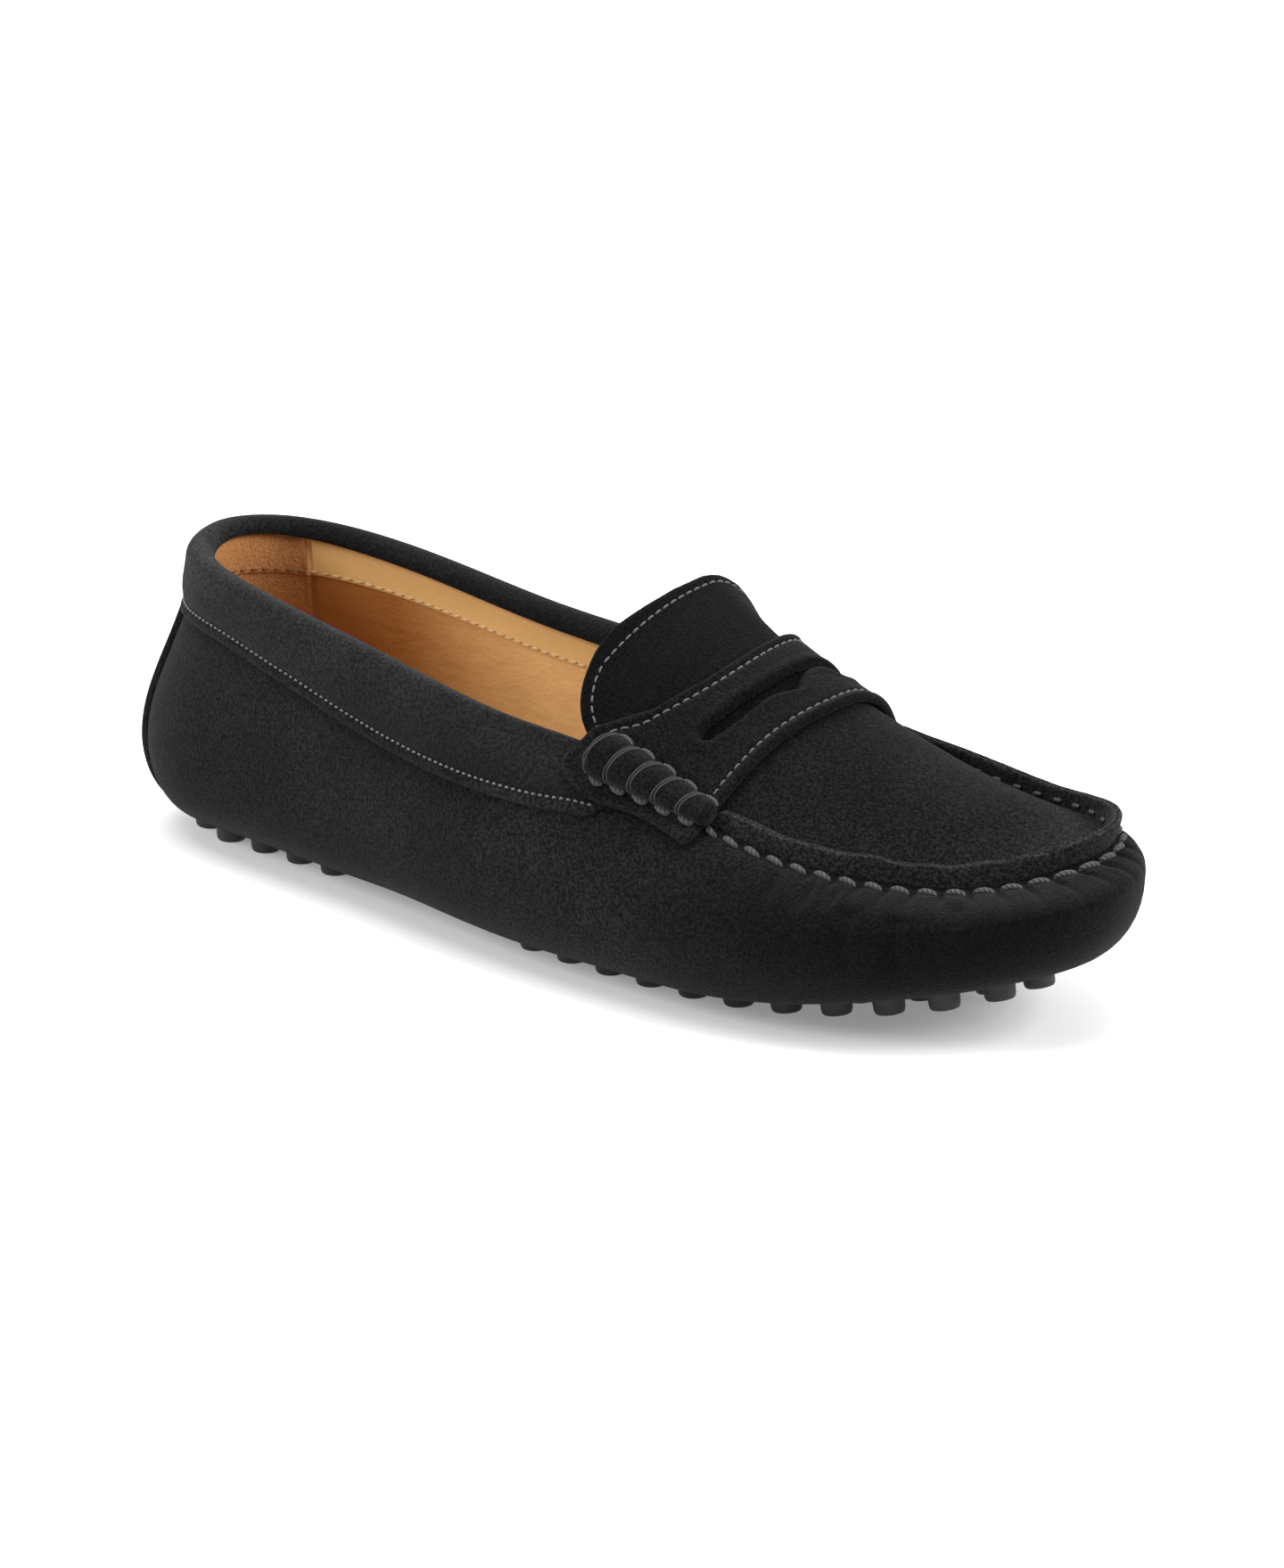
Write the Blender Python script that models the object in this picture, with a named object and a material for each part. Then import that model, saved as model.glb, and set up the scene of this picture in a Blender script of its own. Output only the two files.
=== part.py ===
"""Penny driving moccasin, right foot: a suede upper on a pebbled rubber sole.

The shoe stands on its pebbles with +X to the toe, +Y to the inner side of the
foot and +Z up. The origin is on the floor at the middle of the footprint.
Sizes are in millimetres and become metres when a mesh is made.
"""

import math
from collections import namedtuple

import bmesh
import bpy
import numpy as np

MM = 0.001

# Driving sizes
LENGTH = 251.0
WALL = 1.8  # suede with its lining
LIP_WALL = 1.6  # the vamp's edge where it stands up round the apron
LIP_RISE = 4.8
GAP = 0.35  # between pieces that meet
OVERLAY = 1.6  # strap, collar band and heel tab
APRON_THICK = 1.6
APRON_GAP = 0.6  # to the lip, whose faces are flat between its columns
APRON_LIFT = 0.2  # above the seam
SOLE_THICK = 2.6
INSOLE_THICK = 2.4
SOLE_BORDER = 4.4  # from the centres of the outer pebbles to the edge of the sole
PEBBLE_TALL = 4.6
PEBBLE_RADIUS = 3.4

# Heights along the foot, as shares of the length
SPRING_START = 0.66
SPRING_RISE = 14.0
HEEL_LIFT_END = 0.085
HEEL_LIFT = 2.5
ARCH_START = 0.28
ARCH_END = 0.46
ARCH_RISE = 0.2  # the sole runs nearly straight under the arch

# Stations along the foot, in millimetres from the back of the heel
LIP_START = 185.5
LIP_FULL = 191.0
INNER_LIP_BACK = 8.0  # the lip starts this much further back on the inner side
TONGUE_TIP = 137.5

# One row for each place round the shoe, from the heel along the outer side to
# the toe and back along the inner side.
#   x, y   widest outline, seen from above
#   turn   how far the wall turns in under the foot
#   rise   from the bottom of the wall up to its widest line
#   lean   how far the top edge lies inside the widest line
#   edge   height of the top edge: topline behind, apron seam in front
#   curl   0 for a wall that leans more and more, 1 for one that stands up again,
#          below 0 for a fuller one
#   tread  how far the outer row of pebbles lies inside the widest line
Place = namedtuple("Place", "name x y turn rise lean edge curl tread")
PLACES = (
    Place("heel", 0.0, 0.0, 7.4, 15.0, 12.6, 62.0, 1.0, 12.6),
    Place("outer_heel_corner", 11.0, -21.5, 7.8, 15.0, 10.8, 61.0, 1.0, 13.4),
    Place("outer_heel_side", 39.0, -30.5, 9.4, 15.0, 7.2, 58.5, 0.6, 17.0),
    Place("outer_waist", 85.0, -35.5, 9.8, 15.2, 6.2, 53.6, 0.2, 18.0),
    Place("outer_throat", 128.0, -41.5, 10.8, 15.4, 9.0, 48.6, 0.0, 18.8),
    Place("outer_roll", 152.0, -42.4, 11.8, 15.8, 11.4, 46.0, 0.0, 19.0),
    Place("outer_ball", 182.0, -41.3, 12.6, 16.0, 11.8, 38.4, -0.15, 20.0),
    Place("outer_toe_side", 213.0, -35.2, 13.0, 16.0, 12.9, 33.6, -0.3, 21.5),
    Place("outer_toe_corner", 238.0, -21.0, 12.0, 16.0, 14.0, 32.8, -0.4, 22.0),
    Place("toe", 250.6, 6.0, 12.0, 16.0, 12.0, 35.2, -0.5, 22.0),
    Place("inner_toe_corner", 240.0, 28.0, 12.0, 16.4, 5.2, 37.4, -0.4, 20.0),
    Place("inner_toe_side", 214.5, 41.0, 12.0, 16.0, 10.0, 37.4, -0.3, 19.0),
    Place("inner_ball", 182.0, 42.8, 12.0, 16.0, 12.6, 39.8, -0.15, 19.0),
    Place("inner_roll", 152.0, 39.8, 12.0, 16.0, 11.2, 45.2, 0.0, 19.0),
    Place("inner_throat", 128.0, 34.6, 12.0, 16.0, 7.6, 48.8, 0.0, 18.0),
    Place("inner_waist", 85.0, 29.8, 11.0, 16.0, 4.6, 52.4, 0.2, 17.0),
    Place("inner_heel_side", 38.5, 30.2, 9.6, 15.0, 6.2, 57.8, 0.6, 16.4),
    Place("inner_heel_corner", 11.5, 21.5, 7.8, 15.0, 9.8, 61.0, 1.0, 13.4),
)
HALF_STEPS = 30  # mesh columns along each side of the shoe

# The ridge of apron and tongue, which lies towards the inner side of the foot
Ridge = namedtuple("Ridge", "x y z")
RIDGE = (
    Ridge(TONGUE_TIP, 12.0, 73.2),
    Ridge(148.0, 11.5, 68.8),
    Ridge(160.0, 9.5, 63.6),
    Ridge(172.0, 8.0, 59.0),
    Ridge(184.0, 7.0, 54.8),
    Ridge(200.0, 6.0, 49.2),
    Ridge(216.0, 6.0, 43.4),
    Ridge(230.0, 6.0, 38.2),
)

# The free edges of the tongue behind the strap
TongueRow = namedtuple("TongueRow", "x outer_y inner_y outer_z inner_z")
TONGUE = (
    TongueRow(TONGUE_TIP, -11.0, 21.0, 68.0, 70.6),
    TongueRow(138.3, -18.5, 25.6, 63.0, 66.4),
    TongueRow(140.5, -23.0, 27.6, 57.0, 61.4),
    TongueRow(145.0, -26.6, 27.4, 51.4, 54.6),
    TongueRow(151.0, -29.0, 26.0, 47.6, 48.6),
)
TONGUE_BASE = 156.0  # from here forward the seam carries the apron's edges
CROWN_POWER = 2.1  # how squarely the apron falls from its ridge to its edges
APRON_COLUMNS = 11  # mesh points across the apron
APRON_ROWS = 26  # and along it
TIP_ROWS = (5.5, 3.0, 1.4, 0.4, 0.0)  # in front of the tongue's tip, where it is round
TIP_CLEAR = 7.0  # the even rows stop this far from the tip

# The strap over the apron: its edges at each place across the foot
#   across  -1 and 1 are the seams, beyond them the flaps on the sides
StrapRow = namedtuple("StrapRow", "across rear front")
STRAP = (
    StrapRow(-1.36, 158.0, 176.4),
    StrapRow(-1.30, 150.0, 177.4),
    StrapRow(-1.20, 145.6, 177.8),
    StrapRow(-1.10, 144.4, 177.8),
    StrapRow(-1.0, 146.2, 177.8),
    StrapRow(-0.6, 155.4, 179.2),
    StrapRow(0.2, 160.2, 182.0),
    StrapRow(0.6, 157.8, 179.6),
    StrapRow(1.0, 148.4, 174.0),
    StrapRow(1.10, 146.8, 173.6),
    StrapRow(1.20, 147.6, 173.4),
    StrapRow(1.30, 151.0, 172.8),
    StrapRow(1.36, 156.0, 171.0),
)
FLAP_DEPTH = 23.0  # of wall height that one whole unit of across covers
STRAP_STEEP = 1.15  # straight up over a slanting apron, for one unit square to it
SEAM_CLEAR = 0.95  # the strap is led straight over the seam from here to 1
FLAP_ROWS = 6
STRAP_ROWS = 15
STRAP_COLUMNS = 6

# The moustache-shaped slot in the strap, from its outer end to the middle of its bump
SlotRow = namedtuple("SlotRow", "y rear front")
SLOT = (
    SlotRow(-19.6, 167.0, 167.6),
    SlotRow(-18.6, 165.8, 168.8),
    SlotRow(-14.0, 166.6, 170.2),
    SlotRow(-9.0, 167.6, 170.9),
    SlotRow(-4.0, 168.2, 171.8),
    SlotRow(-1.0, 168.4, 173.2),
    SlotRow(1.2, 168.4, 173.8),
    SlotRow(3.0, 168.4, 172.6),
    SlotRow(5.0, 168.3, 171.2),
    SlotRow(8.3, 168.3, 170.6),
)
SLOT_FAR = 0.72  # the inner half is shorter seen from above, where the strap falls steeply
CUTTER_LOW = 30.0
CUTTER_HIGH = 90.0

# Collar band and heel tab
BandRow = namedtuple("BandRow", "x deep")
BAND = (
    BandRow(-10.0, 12.0),
    BandRow(12.0, 11.6),
    BandRow(38.0, 10.6),
    BandRow(60.0, 11.8),
    BandRow(85.0, 13.5),
    BandRow(128.0, 12.4),
    BandRow(152.0, 11.6),
)
BAND_INSIDE = 4.0
BAND_ENDS = ("outer_roll", "inner_roll")
BAND_END_BACK = (9.4, 12.4)  # how far behind those places the band stops
TAB_HALF_TOP = 17.0
TAB_HALF_FOOT = 19.0
TAB_FOOT = -0.78  # level on the wall where the tab starts, in under the heel
TAB_POINTS = 9  # along each of its sides
BAND_SHARES = (1.0, 0.7, 0.4, 0.15, 0.0)  # of the band's depth, up its outside
BAND_ROLL_POINTS = 6

# Rolls that bind the strap's ends to the seam
Roll = namedtuple("Roll", "side rear front rear_radius front_radius")
ROLLS = (
    Roll("outer", 154.5, 178.5, 3.9, 3.0),
    Roll("inner", 149.5, 170.5, 3.4, 2.5),
)
ROLL_WRAPS = 5
ROLL_WAIST = 0.80  # radius under a thread wrap, as a share
ROLL_END = 0.7  # and at the two ends
ROLL_SIDES = 10
ROLL_SEAT = 1.04  # across, just outside the seam
ROLL_SWELL = 0.6  # below 1 makes the lobes fuller

# Pebbles: one row round the sole's edge and rows between, in a heel and a forefoot group
PEBBLE_PITCH = 10.9
HEEL_GROUP_END = 70.0
FOREFOOT_GROUP_START = 115.0
PEBBLE_SIDES = 8
PEBBLE_TAPER = 0.9
PEBBLE_ROOT = 1.3
PEBBLE_CLEAR = 2.6  # least distance between centres, in radii
SOLE_COLUMNS = 6  # mesh steps across sole and insole
INSOLE_STEPS = 26  # and along the insole
INSOLE_CLEAR = 0.3  # more than the gap, as the wall's faces are flat between its columns

# Colour and roughness
SUEDE = ((0.012, 0.012, 0.014), 0.95)
TAN = ((0.52, 0.27, 0.10), 0.6)
RUBBER = ((0.016, 0.016, 0.017), 0.7)


def smooth_step(low, high, x):
    """0 below low, 1 above high, with an S curve between."""
    t = np.clip((x - low) / (high - low), 0.0, 1.0)
    return t * t * (3.0 - 2.0 * t)


def cubic(knots, values, periodic_to=None):
    """A smooth cubic through the values at the knots, closed if a period is given."""
    knots = np.asarray(knots, float)
    values = np.asarray(values, float).reshape(len(knots), -1)
    if periodic_to is None:
        slopes = np.gradient(values, knots, axis=0, edge_order=1)
    else:
        slopes = periodic_slopes(knots, values, periodic_to)
        knots = np.append(knots, knots[0] + periodic_to)
        values = np.vstack([values, values[:1]])
        slopes = np.vstack([slopes, slopes[:1]])

    def at(x):
        x = np.atleast_1d(np.asarray(x, float))
        if periodic_to is not None:
            x = np.mod(x - knots[0], periodic_to) + knots[0]
        i = np.clip(np.searchsorted(knots, x, side="right") - 1, 0, len(knots) - 2)
        span = (knots[i + 1] - knots[i])[:, None]
        t = np.clip((x - knots[i])[:, None] / span, 0.0, 1.0)
        start = values[i] * (1 + 2 * t) * (1 - t) ** 2 + slopes[i] * span * t * (1 - t) ** 2
        end = values[i + 1] * t * t * (3 - 2 * t) + slopes[i + 1] * span * t * t * (t - 1)
        return start + end

    return at


def periodic_slopes(knots, values, period):
    """Slopes that make a closed cubic bend evenly through every knot."""
    count = len(knots)
    span = np.diff(np.append(knots, knots[0] + period))
    matrix = np.zeros((count, count))
    right = np.zeros_like(values)
    for i in range(count):
        before, after = span[i - 1], span[i]
        following = (i + 1) % count
        matrix[i, i - 1] += 1 / before
        matrix[i, i] += 2 / before + 2 / after
        matrix[i, following] += 1 / after
        right[i] = 3 * (
            (values[i] - values[i - 1]) / before**2 + (values[following] - values[i]) / after**2
        )
    return np.linalg.solve(matrix, right)


def sole_height(x):
    """Height of the underside: flat at heel and ball, with arch and toe spring."""
    share = np.asarray(x, float) / LENGTH
    spring = np.clip((share - SPRING_START) / (1 - SPRING_START), 0, None) ** 2
    lift = np.clip((HEEL_LIFT_END - share) / HEEL_LIFT_END, 0, None) ** 2
    along_arch = np.clip((share - ARCH_START) / (ARCH_END - ARCH_START), 0, 1)
    arch = np.sin(math.pi * along_arch) ** 2
    return PEBBLE_TALL + SPRING_RISE * spring + HEEL_LIFT * lift + ARCH_RISE * arch


class Last:
    """The shape that the shoe is made on, worked out from the table of places."""

    def __init__(self):
        rows = np.array([place[1:] for place in PLACES], float)
        steps = np.linalg.norm(np.roll(rows[:, :2], -1, axis=0) - rows[:, :2], axis=1)
        self.girth = steps.sum()
        self.knots = np.concatenate([[0.0], np.cumsum(steps)[:-1]])
        self.at = cubic(self.knots, rows, periodic_to=self.girth)
        self.names = [place.name for place in PLACES]
        self.toe = self.place("toe")

    def place(self, name):
        return self.knots[self.names.index(name)]

    def halves(self, steps):
        """Evenly spaced places on the outer side, heel to toe, and on the inner side."""
        sides = []
        for start, end in ((0.0, self.toe), (self.girth, self.toe)):
            fine = np.linspace(start, end, 800)
            line = self.at(fine)[:, :2]
            run = np.concatenate([[0.0], np.cumsum(np.linalg.norm(np.diff(line, axis=0), axis=1))])
            sides.append(np.interp(np.linspace(0.0, run[-1], steps + 1), run, fine))
        return sides

    def loop(self, steps):
        """Places all the way round, each once."""
        outer, inner = self.halves(steps)
        return np.concatenate([outer, inner[::-1][1:-1]])

    def inward(self, places):
        """Unit vectors that point in from the widest outline, seen from above."""
        ahead = self.at(places + 0.05)[:, :2] - self.at(places - 0.05)[:, :2]
        ahead /= np.linalg.norm(ahead, axis=1)[:, None]
        return np.stack([-ahead[:, 1], ahead[:, 0]], axis=1)

    def section(self, places, level):
        """Inset and height of the outside at a level: -1 floor, 0 widest line, 1 top edge."""
        x, _, turn, rise, lean, edge, curl, _ = self.at(places).T
        wide = sole_height(x + self.inward(places)[:, 0] * turn) + rise
        if level <= 0:
            angle = (1 + level) * math.pi / 2
            return turn * (1 - math.sin(angle)), wide - rise * math.cos(angle)
        straightening = (1 - curl) * level**2 + curl * level**2 * (3 - 2 * level)
        return lean * straightening, wide + (edge - wide) * level

    def skin(self, places, level, depth=0.0):
        """Points of the wall at a level, set in by a depth (out if negative)."""
        places = np.asarray(places, float)
        inset, height = self.section(places, level)
        step = 0.01
        low, high = max(level - step, -1.0), min(level + step, 1.0)
        inset_low, height_low = self.section(places, low)
        inset_high, height_high = self.section(places, high)
        across, up = inset_high - inset_low, height_high - height_low
        size = np.hypot(across, up)
        inset = inset + depth * up / size
        height = height - depth * across / size
        plan = self.at(places)[:, :2] + self.inward(places) * inset[:, None]
        return np.column_stack([plan, height])

    def lip_rise(self, places):
        """How far the vamp's edge stands up round the apron."""
        x = self.at(places)[:, 0] + np.where(places > self.toe, INNER_LIP_BACK, 0.0)
        return LIP_RISE * smooth_step(LIP_START, LIP_FULL, x)

    def rim(self, places, depth):
        """The top of the wall: the bare edge behind, the standing lip in front."""
        rise = self.lip_rise(places)
        edge = self.skin(places, 1.0, depth)
        lean, height = self.section(places, 1.0)
        inset = lean + LIP_WALL * depth / WALL
        stand = self.at(places)[:, :2] + self.inward(places) * inset[:, None]
        share = (rise / LIP_RISE)[:, None]
        top = edge * (1 - share) + np.column_stack([stand, height]) * share
        top[:, 2] += rise
        return top

    def seam(self, places, inset, lift):
        """Points beside the top edge, set in from it and lifted."""
        lean, height = self.section(places, 1.0)
        plan = self.at(places)[:, :2] + self.inward(places) * (lean + inset)[:, None]
        return np.column_stack([plan, height + lift])


LAST = Last()


class Apron:
    """The sheet over the forefoot, which runs back under the strap and ends as the tongue."""

    def __init__(self):
        places = np.linspace(LAST.place("outer_throat"), LAST.place("inner_throat"), 600)
        loop = LAST.seam(places, LIP_WALL + APRON_GAP, APRON_LIFT)
        tip = loop[:, 0].argmax()
        self.front = loop[tip, 0]
        self.outer = loop[: tip + 1]
        self.inner = loop[tip:][::-1]
        self.ridge = cubic([row.x for row in RIDGE], [row[1:] for row in RIDGE])
        self.tongue = cubic([row.x for row in TONGUE], [row[1:] for row in TONGUE])

    def edges(self, x):
        """The two edges at a station, as points on the outer and the inner side."""
        share = smooth_step(TONGUE[-1].x, TONGUE_BASE, x)[:, None]
        free = self.tongue(np.minimum(x, TONGUE[-1].x))
        sides = []
        for side, line in enumerate((self.outer, self.inner)):
            sewn = np.column_stack([np.interp(x, line[:, 0], line[:, k]) for k in (1, 2)])
            sides.append(np.column_stack([x, sewn * share + free[:, [side, side + 2]] * (1 - share)]))
        return sides

    def surface(self, x, across, lift=0.0):
        """Points on the upper face: across is -1 at the outer edge and 1 at the inner one."""
        x = np.atleast_1d(np.asarray(x, float))
        outer, inner = self.edges(x)
        line = outer * (1 - across) / 2 + inner * (1 + across) / 2
        middle, half = (outer + inner) / 2, (inner - outer) / 2
        ridge_y, ridge_z = self.ridge(np.clip(x, TONGUE_TIP, RIDGE[-1].x)).T
        peak = np.clip((ridge_y - middle[:, 1]) / np.maximum(half[:, 1], 1.0), -0.5, 0.5)
        edge_z = middle[:, 2] + half[:, 2] * peak
        beside = (across - peak) / np.where(across < peak, 1 + peak, 1 - peak)
        fade = 1 - smooth_step(RIDGE[-2].x, self.front, x)
        crown = np.maximum(ridge_z - edge_z, 0.0) * np.where(x > RIDGE[-2].x, fade, 1.0)
        line[:, 2] += crown * (1 - np.abs(beside) ** CROWN_POWER)
        line[:, 2] += lift
        return line


APRON = Apron()


def material(name, colour, roughness):
    made = bpy.data.materials.new(name)
    made.use_nodes = True
    shader = made.node_tree.nodes["Principled BSDF"]
    shader.inputs["Base Color"].default_value = (*colour, 1.0)
    shader.inputs["Roughness"].default_value = roughness
    shader.inputs["Metallic"].default_value = 0.0
    return made


def add_object(name, points, faces, finish):
    """One closed mesh object from points in millimetres, with its faces turned out."""
    mesh = bpy.data.meshes.new(name)
    work = bmesh.new()
    corners = [work.verts.new(tuple(float(c) * MM for c in p)) for p in points]
    for face in faces:
        work.faces.new([corners[i] for i in face])
    bmesh.ops.remove_doubles(work, verts=work.verts, dist=1e-6)
    bmesh.ops.recalc_face_normals(work, faces=work.faces)
    work.to_mesh(mesh)
    work.free()
    mesh.shade_smooth()
    mesh.set_sharp_from_angle(angle=math.radians(40))
    made = bpy.data.objects.new(name, mesh)
    bpy.context.scene.collection.objects.link(made)
    mesh.materials.append(finish)
    return made


def ring_solid(name, rows, finish):
    """A hollow ring: rows of closed loops that run up the outside and down the inside."""
    count, size = len(rows), len(rows[0])
    points = np.concatenate(rows)
    faces = []
    for i in range(count):
        following = (i + 1) % count
        for j in range(size):
            k = (j + 1) % size
            faces.append((i * size + j, i * size + k, following * size + k, following * size + j))
    return add_object(name, points, faces, finish)


def sheet_solid(name, upper, lower, finish):
    """A sheet between two grids of points, closed round its edge."""
    rows, columns = upper.shape[:2]
    points = np.concatenate([upper.reshape(-1, 3), lower.reshape(-1, 3)])
    below = rows * columns
    faces = []
    for i in range(rows - 1):
        for j in range(columns - 1):
            a = i * columns + j
            quad = (a, a + 1, a + columns + 1, a + columns)
            faces.append(quad)
            faces.append(tuple(below + k for k in reversed(quad)))
    border = [j for j in range(columns)]
    border += [i * columns + columns - 1 for i in range(1, rows)]
    border += [(rows - 1) * columns + j for j in range(columns - 2, -1, -1)]
    border += [i * columns for i in range(rows - 2, 0, -1)]
    for a, b in zip(border, border[1:] + border[:1]):
        faces.append((b, a, below + a, below + b))
    return add_object(name, points, faces, finish)


def strip_solid(name, outlines, finish):
    """Closed outlines joined one after another, capped at both ends."""
    count, size = len(outlines), len(outlines[0])
    points = np.concatenate(outlines)
    faces = []
    for i in range(count - 1):
        for j in range(size):
            k = (j + 1) % size
            faces.append((i * size + j, i * size + k, (i + 1) * size + k, (i + 1) * size + j))
    faces.append(tuple(range(size)))
    faces.append(tuple((count - 1) * size + j for j in reversed(range(size))))
    return add_object(name, points, faces, finish)


def make_upper(finish):
    """The suede wall that wraps up from under the foot to the topline and the apron seam."""
    places = LAST.loop(HALF_STEPS)
    turn_levels = np.linspace(-1.0, 0.0, 6)
    upper_levels = np.linspace(0.0, 1.0, 7)[1:]
    levels = np.concatenate([turn_levels, upper_levels])

    def margin(depth):
        plan = LAST.at(places)[:, :2] + LAST.inward(places) * sole_inset(places)[:, None]
        return np.column_stack([plan, sole_height(plan[:, 0]) + depth])

    outside = [margin(0.0)] + [LAST.skin(places, v) for v in levels] + [LAST.rim(places, 0.0)]
    inside = [margin(WALL)] + [LAST.skin(places, v, WALL) for v in levels] + [LAST.rim(places, WALL)]
    return ring_solid("upper", outside + inside[::-1], finish)


def sole_inset(places):
    """How far the opening for the sole lies inside the widest line."""
    return LAST.at(places)[:, -1] - SOLE_BORDER


def footbed(inset, rows, columns):
    """A grid over the underside, in from the widest outline; inset is a function of places."""
    outer, inner = LAST.halves(rows)
    lines = []
    for places in (outer, inner):
        plan = LAST.at(places)[:, :2]
        lines.append(plan + LAST.inward(places) * inset(places)[:, None])
    share = np.linspace(0.0, 1.0, columns + 1)[None, :, None]
    plan = lines[0][:, None] * (1 - share) + lines[1][:, None] * share
    return np.dstack([plan, sole_height(plan[..., 0])])


def make_sole(finish):
    """The rubber plate that closes the upper underneath, with its pebbles."""
    grid = footbed(lambda places: sole_inset(places) + GAP, HALF_STEPS, SOLE_COLUMNS)
    plate = sheet_solid("sole", grid + [0, 0, SOLE_THICK], grid, finish)
    pebbles = make_pebbles(finish)
    pebbles.hide_render = True
    pebbles.display_type = "WIRE"
    join = plate.modifiers.new("pebbles", "BOOLEAN")
    join.operation = "UNION"
    join.object = pebbles
    return plate


def tread_lines():
    """The outer row of pebbles as two lines from heel to toe, outer side and inner side."""
    lines = []
    for places in LAST.halves(200):
        tread = LAST.at(places)[:, -1]
        lines.append(LAST.at(places)[:, :2] + LAST.inward(places) * tread[:, None])
    return lines


def pebble_places():
    """Centres of the pebbles: a row that follows the edge, then even rows across between."""
    outer, inner = tread_lines()
    loop = np.vstack([outer, inner[::-1]])
    run = np.concatenate([[0.0], np.cumsum(np.linalg.norm(np.diff(loop, axis=0), axis=1))])
    spots = np.linspace(0.0, run[-1], int(round(run[-1] / PEBBLE_PITCH)), endpoint=False)
    centres = [(np.interp(s, run, loop[:, 0]), np.interp(s, run, loop[:, 1])) for s in spots]
    for x in np.arange(outer[0, 0] + PEBBLE_PITCH, outer[-1, 0], PEBBLE_PITCH):
        low = np.interp(x, outer[:, 0], outer[:, 1])
        high = np.interp(x, inner[:, 0], inner[:, 1])
        steps = int(round((high - low) / PEBBLE_PITCH))
        centres += [(x, low + (high - low) * k / steps) for k in range(1, steps)]
    kept = []
    for x, y in centres:
        in_group = x < HEEL_GROUP_END or x > FOREFOOT_GROUP_START
        clear = all(math.hypot(x - a, y - b) > PEBBLE_CLEAR * PEBBLE_RADIUS for a, b in kept)
        if in_group and clear:
            kept.append((x, y))
    return kept


def make_pebbles(finish):
    """Short tapered studs, square to the underside, that reach up into the sole plate."""
    points, faces = [], []
    turn = np.arange(PEBBLE_SIDES) * 2 * math.pi / PEBBLE_SIDES
    for x, y in pebble_places():
        slope = float(sole_height(x + 0.5) - sole_height(x - 0.5))
        tilt = math.atan(slope)
        forward = np.array([math.cos(tilt), 0.0, math.sin(tilt)])
        down = np.array([math.sin(tilt), 0.0, -math.cos(tilt)])
        root = np.array([x, y, float(sole_height(x))])
        start = len(points)
        ends = ((-PEBBLE_ROOT, PEBBLE_RADIUS), (PEBBLE_TALL, PEBBLE_RADIUS * PEBBLE_TAPER))
        for depth, radius in ends:
            for a in turn:
                offset = forward * math.cos(a) + np.array([0.0, math.sin(a), 0.0])
                points.append(root + down * depth + radius * offset)
        ring = list(range(start, start + PEBBLE_SIDES))
        for i, j in zip(ring, ring[1:] + ring[:1]):
            faces.append((i, j, j + PEBBLE_SIDES, i + PEBBLE_SIDES))
        faces.append(tuple(reversed(ring)))
        faces.append(tuple(i + PEBBLE_SIDES for i in ring))
    return add_object("pebbles", np.array(points), faces, finish)


def make_insole(finish):
    """The padded sock that lies on the sole plate inside the upper."""
    base = SOLE_THICK + GAP

    def clear_of_wall(places):
        _, _, turn, rise, *_ = LAST.at(places).T
        angle = np.arccos((rise - base) / (rise - WALL))
        return turn - (turn - WALL) * np.sin(angle) + GAP + INSOLE_CLEAR

    grid = footbed(clear_of_wall, INSOLE_STEPS, SOLE_COLUMNS)
    return sheet_solid("insole", grid + [0, 0, base + INSOLE_THICK], grid + [0, 0, base], finish)


def make_apron(finish):
    """Apron and tongue, cut in one piece."""
    from_toe = 1 - np.cos(np.linspace(0, math.pi / 2, APRON_ROWS))
    front = APRON.front - (APRON.front - TONGUE_TIP) * from_toe
    near_tip = TONGUE_TIP + np.array(TIP_ROWS)
    stations = np.concatenate([front[front > TONGUE_TIP + TIP_CLEAR], near_tip])
    share = np.linspace(-1.0, 1.0, APRON_COLUMNS)
    upper = np.stack([APRON.surface(stations, w) for w in share], axis=1)
    lower = np.stack([APRON.surface(stations, w, -APRON_THICK) for w in share], axis=1)
    return sheet_solid("apron_tongue", upper, lower, finish)


def saddle(x, across, lift):
    """A point over apron, seam and sides, this far above them."""
    x = np.atleast_1d(np.asarray(x, float))
    if abs(across) < 1.0:
        return APRON.surface(x, across, lift * STRAP_STEEP)
    side = "outer" if across < 0 else "inner"
    span = (LAST.place(side + "_throat"), LAST.place(side + "_toe_side"))
    fine = np.linspace(*span, 200)
    down = (abs(across) - 1.0) * FLAP_DEPTH
    edge = LAST.skin(fine, 1.0)
    order = np.argsort(edge[:, 0])
    places = np.interp(x, edge[order, 0], fine[order])
    height = LAST.section(places, 1.0)[1] - LAST.section(places, 0.0)[1]
    rows = [LAST.skin(np.array([p]), 1.0 - down / h, -lift)[0] for p, h in zip(places, height)]
    return np.array(rows)


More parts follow.
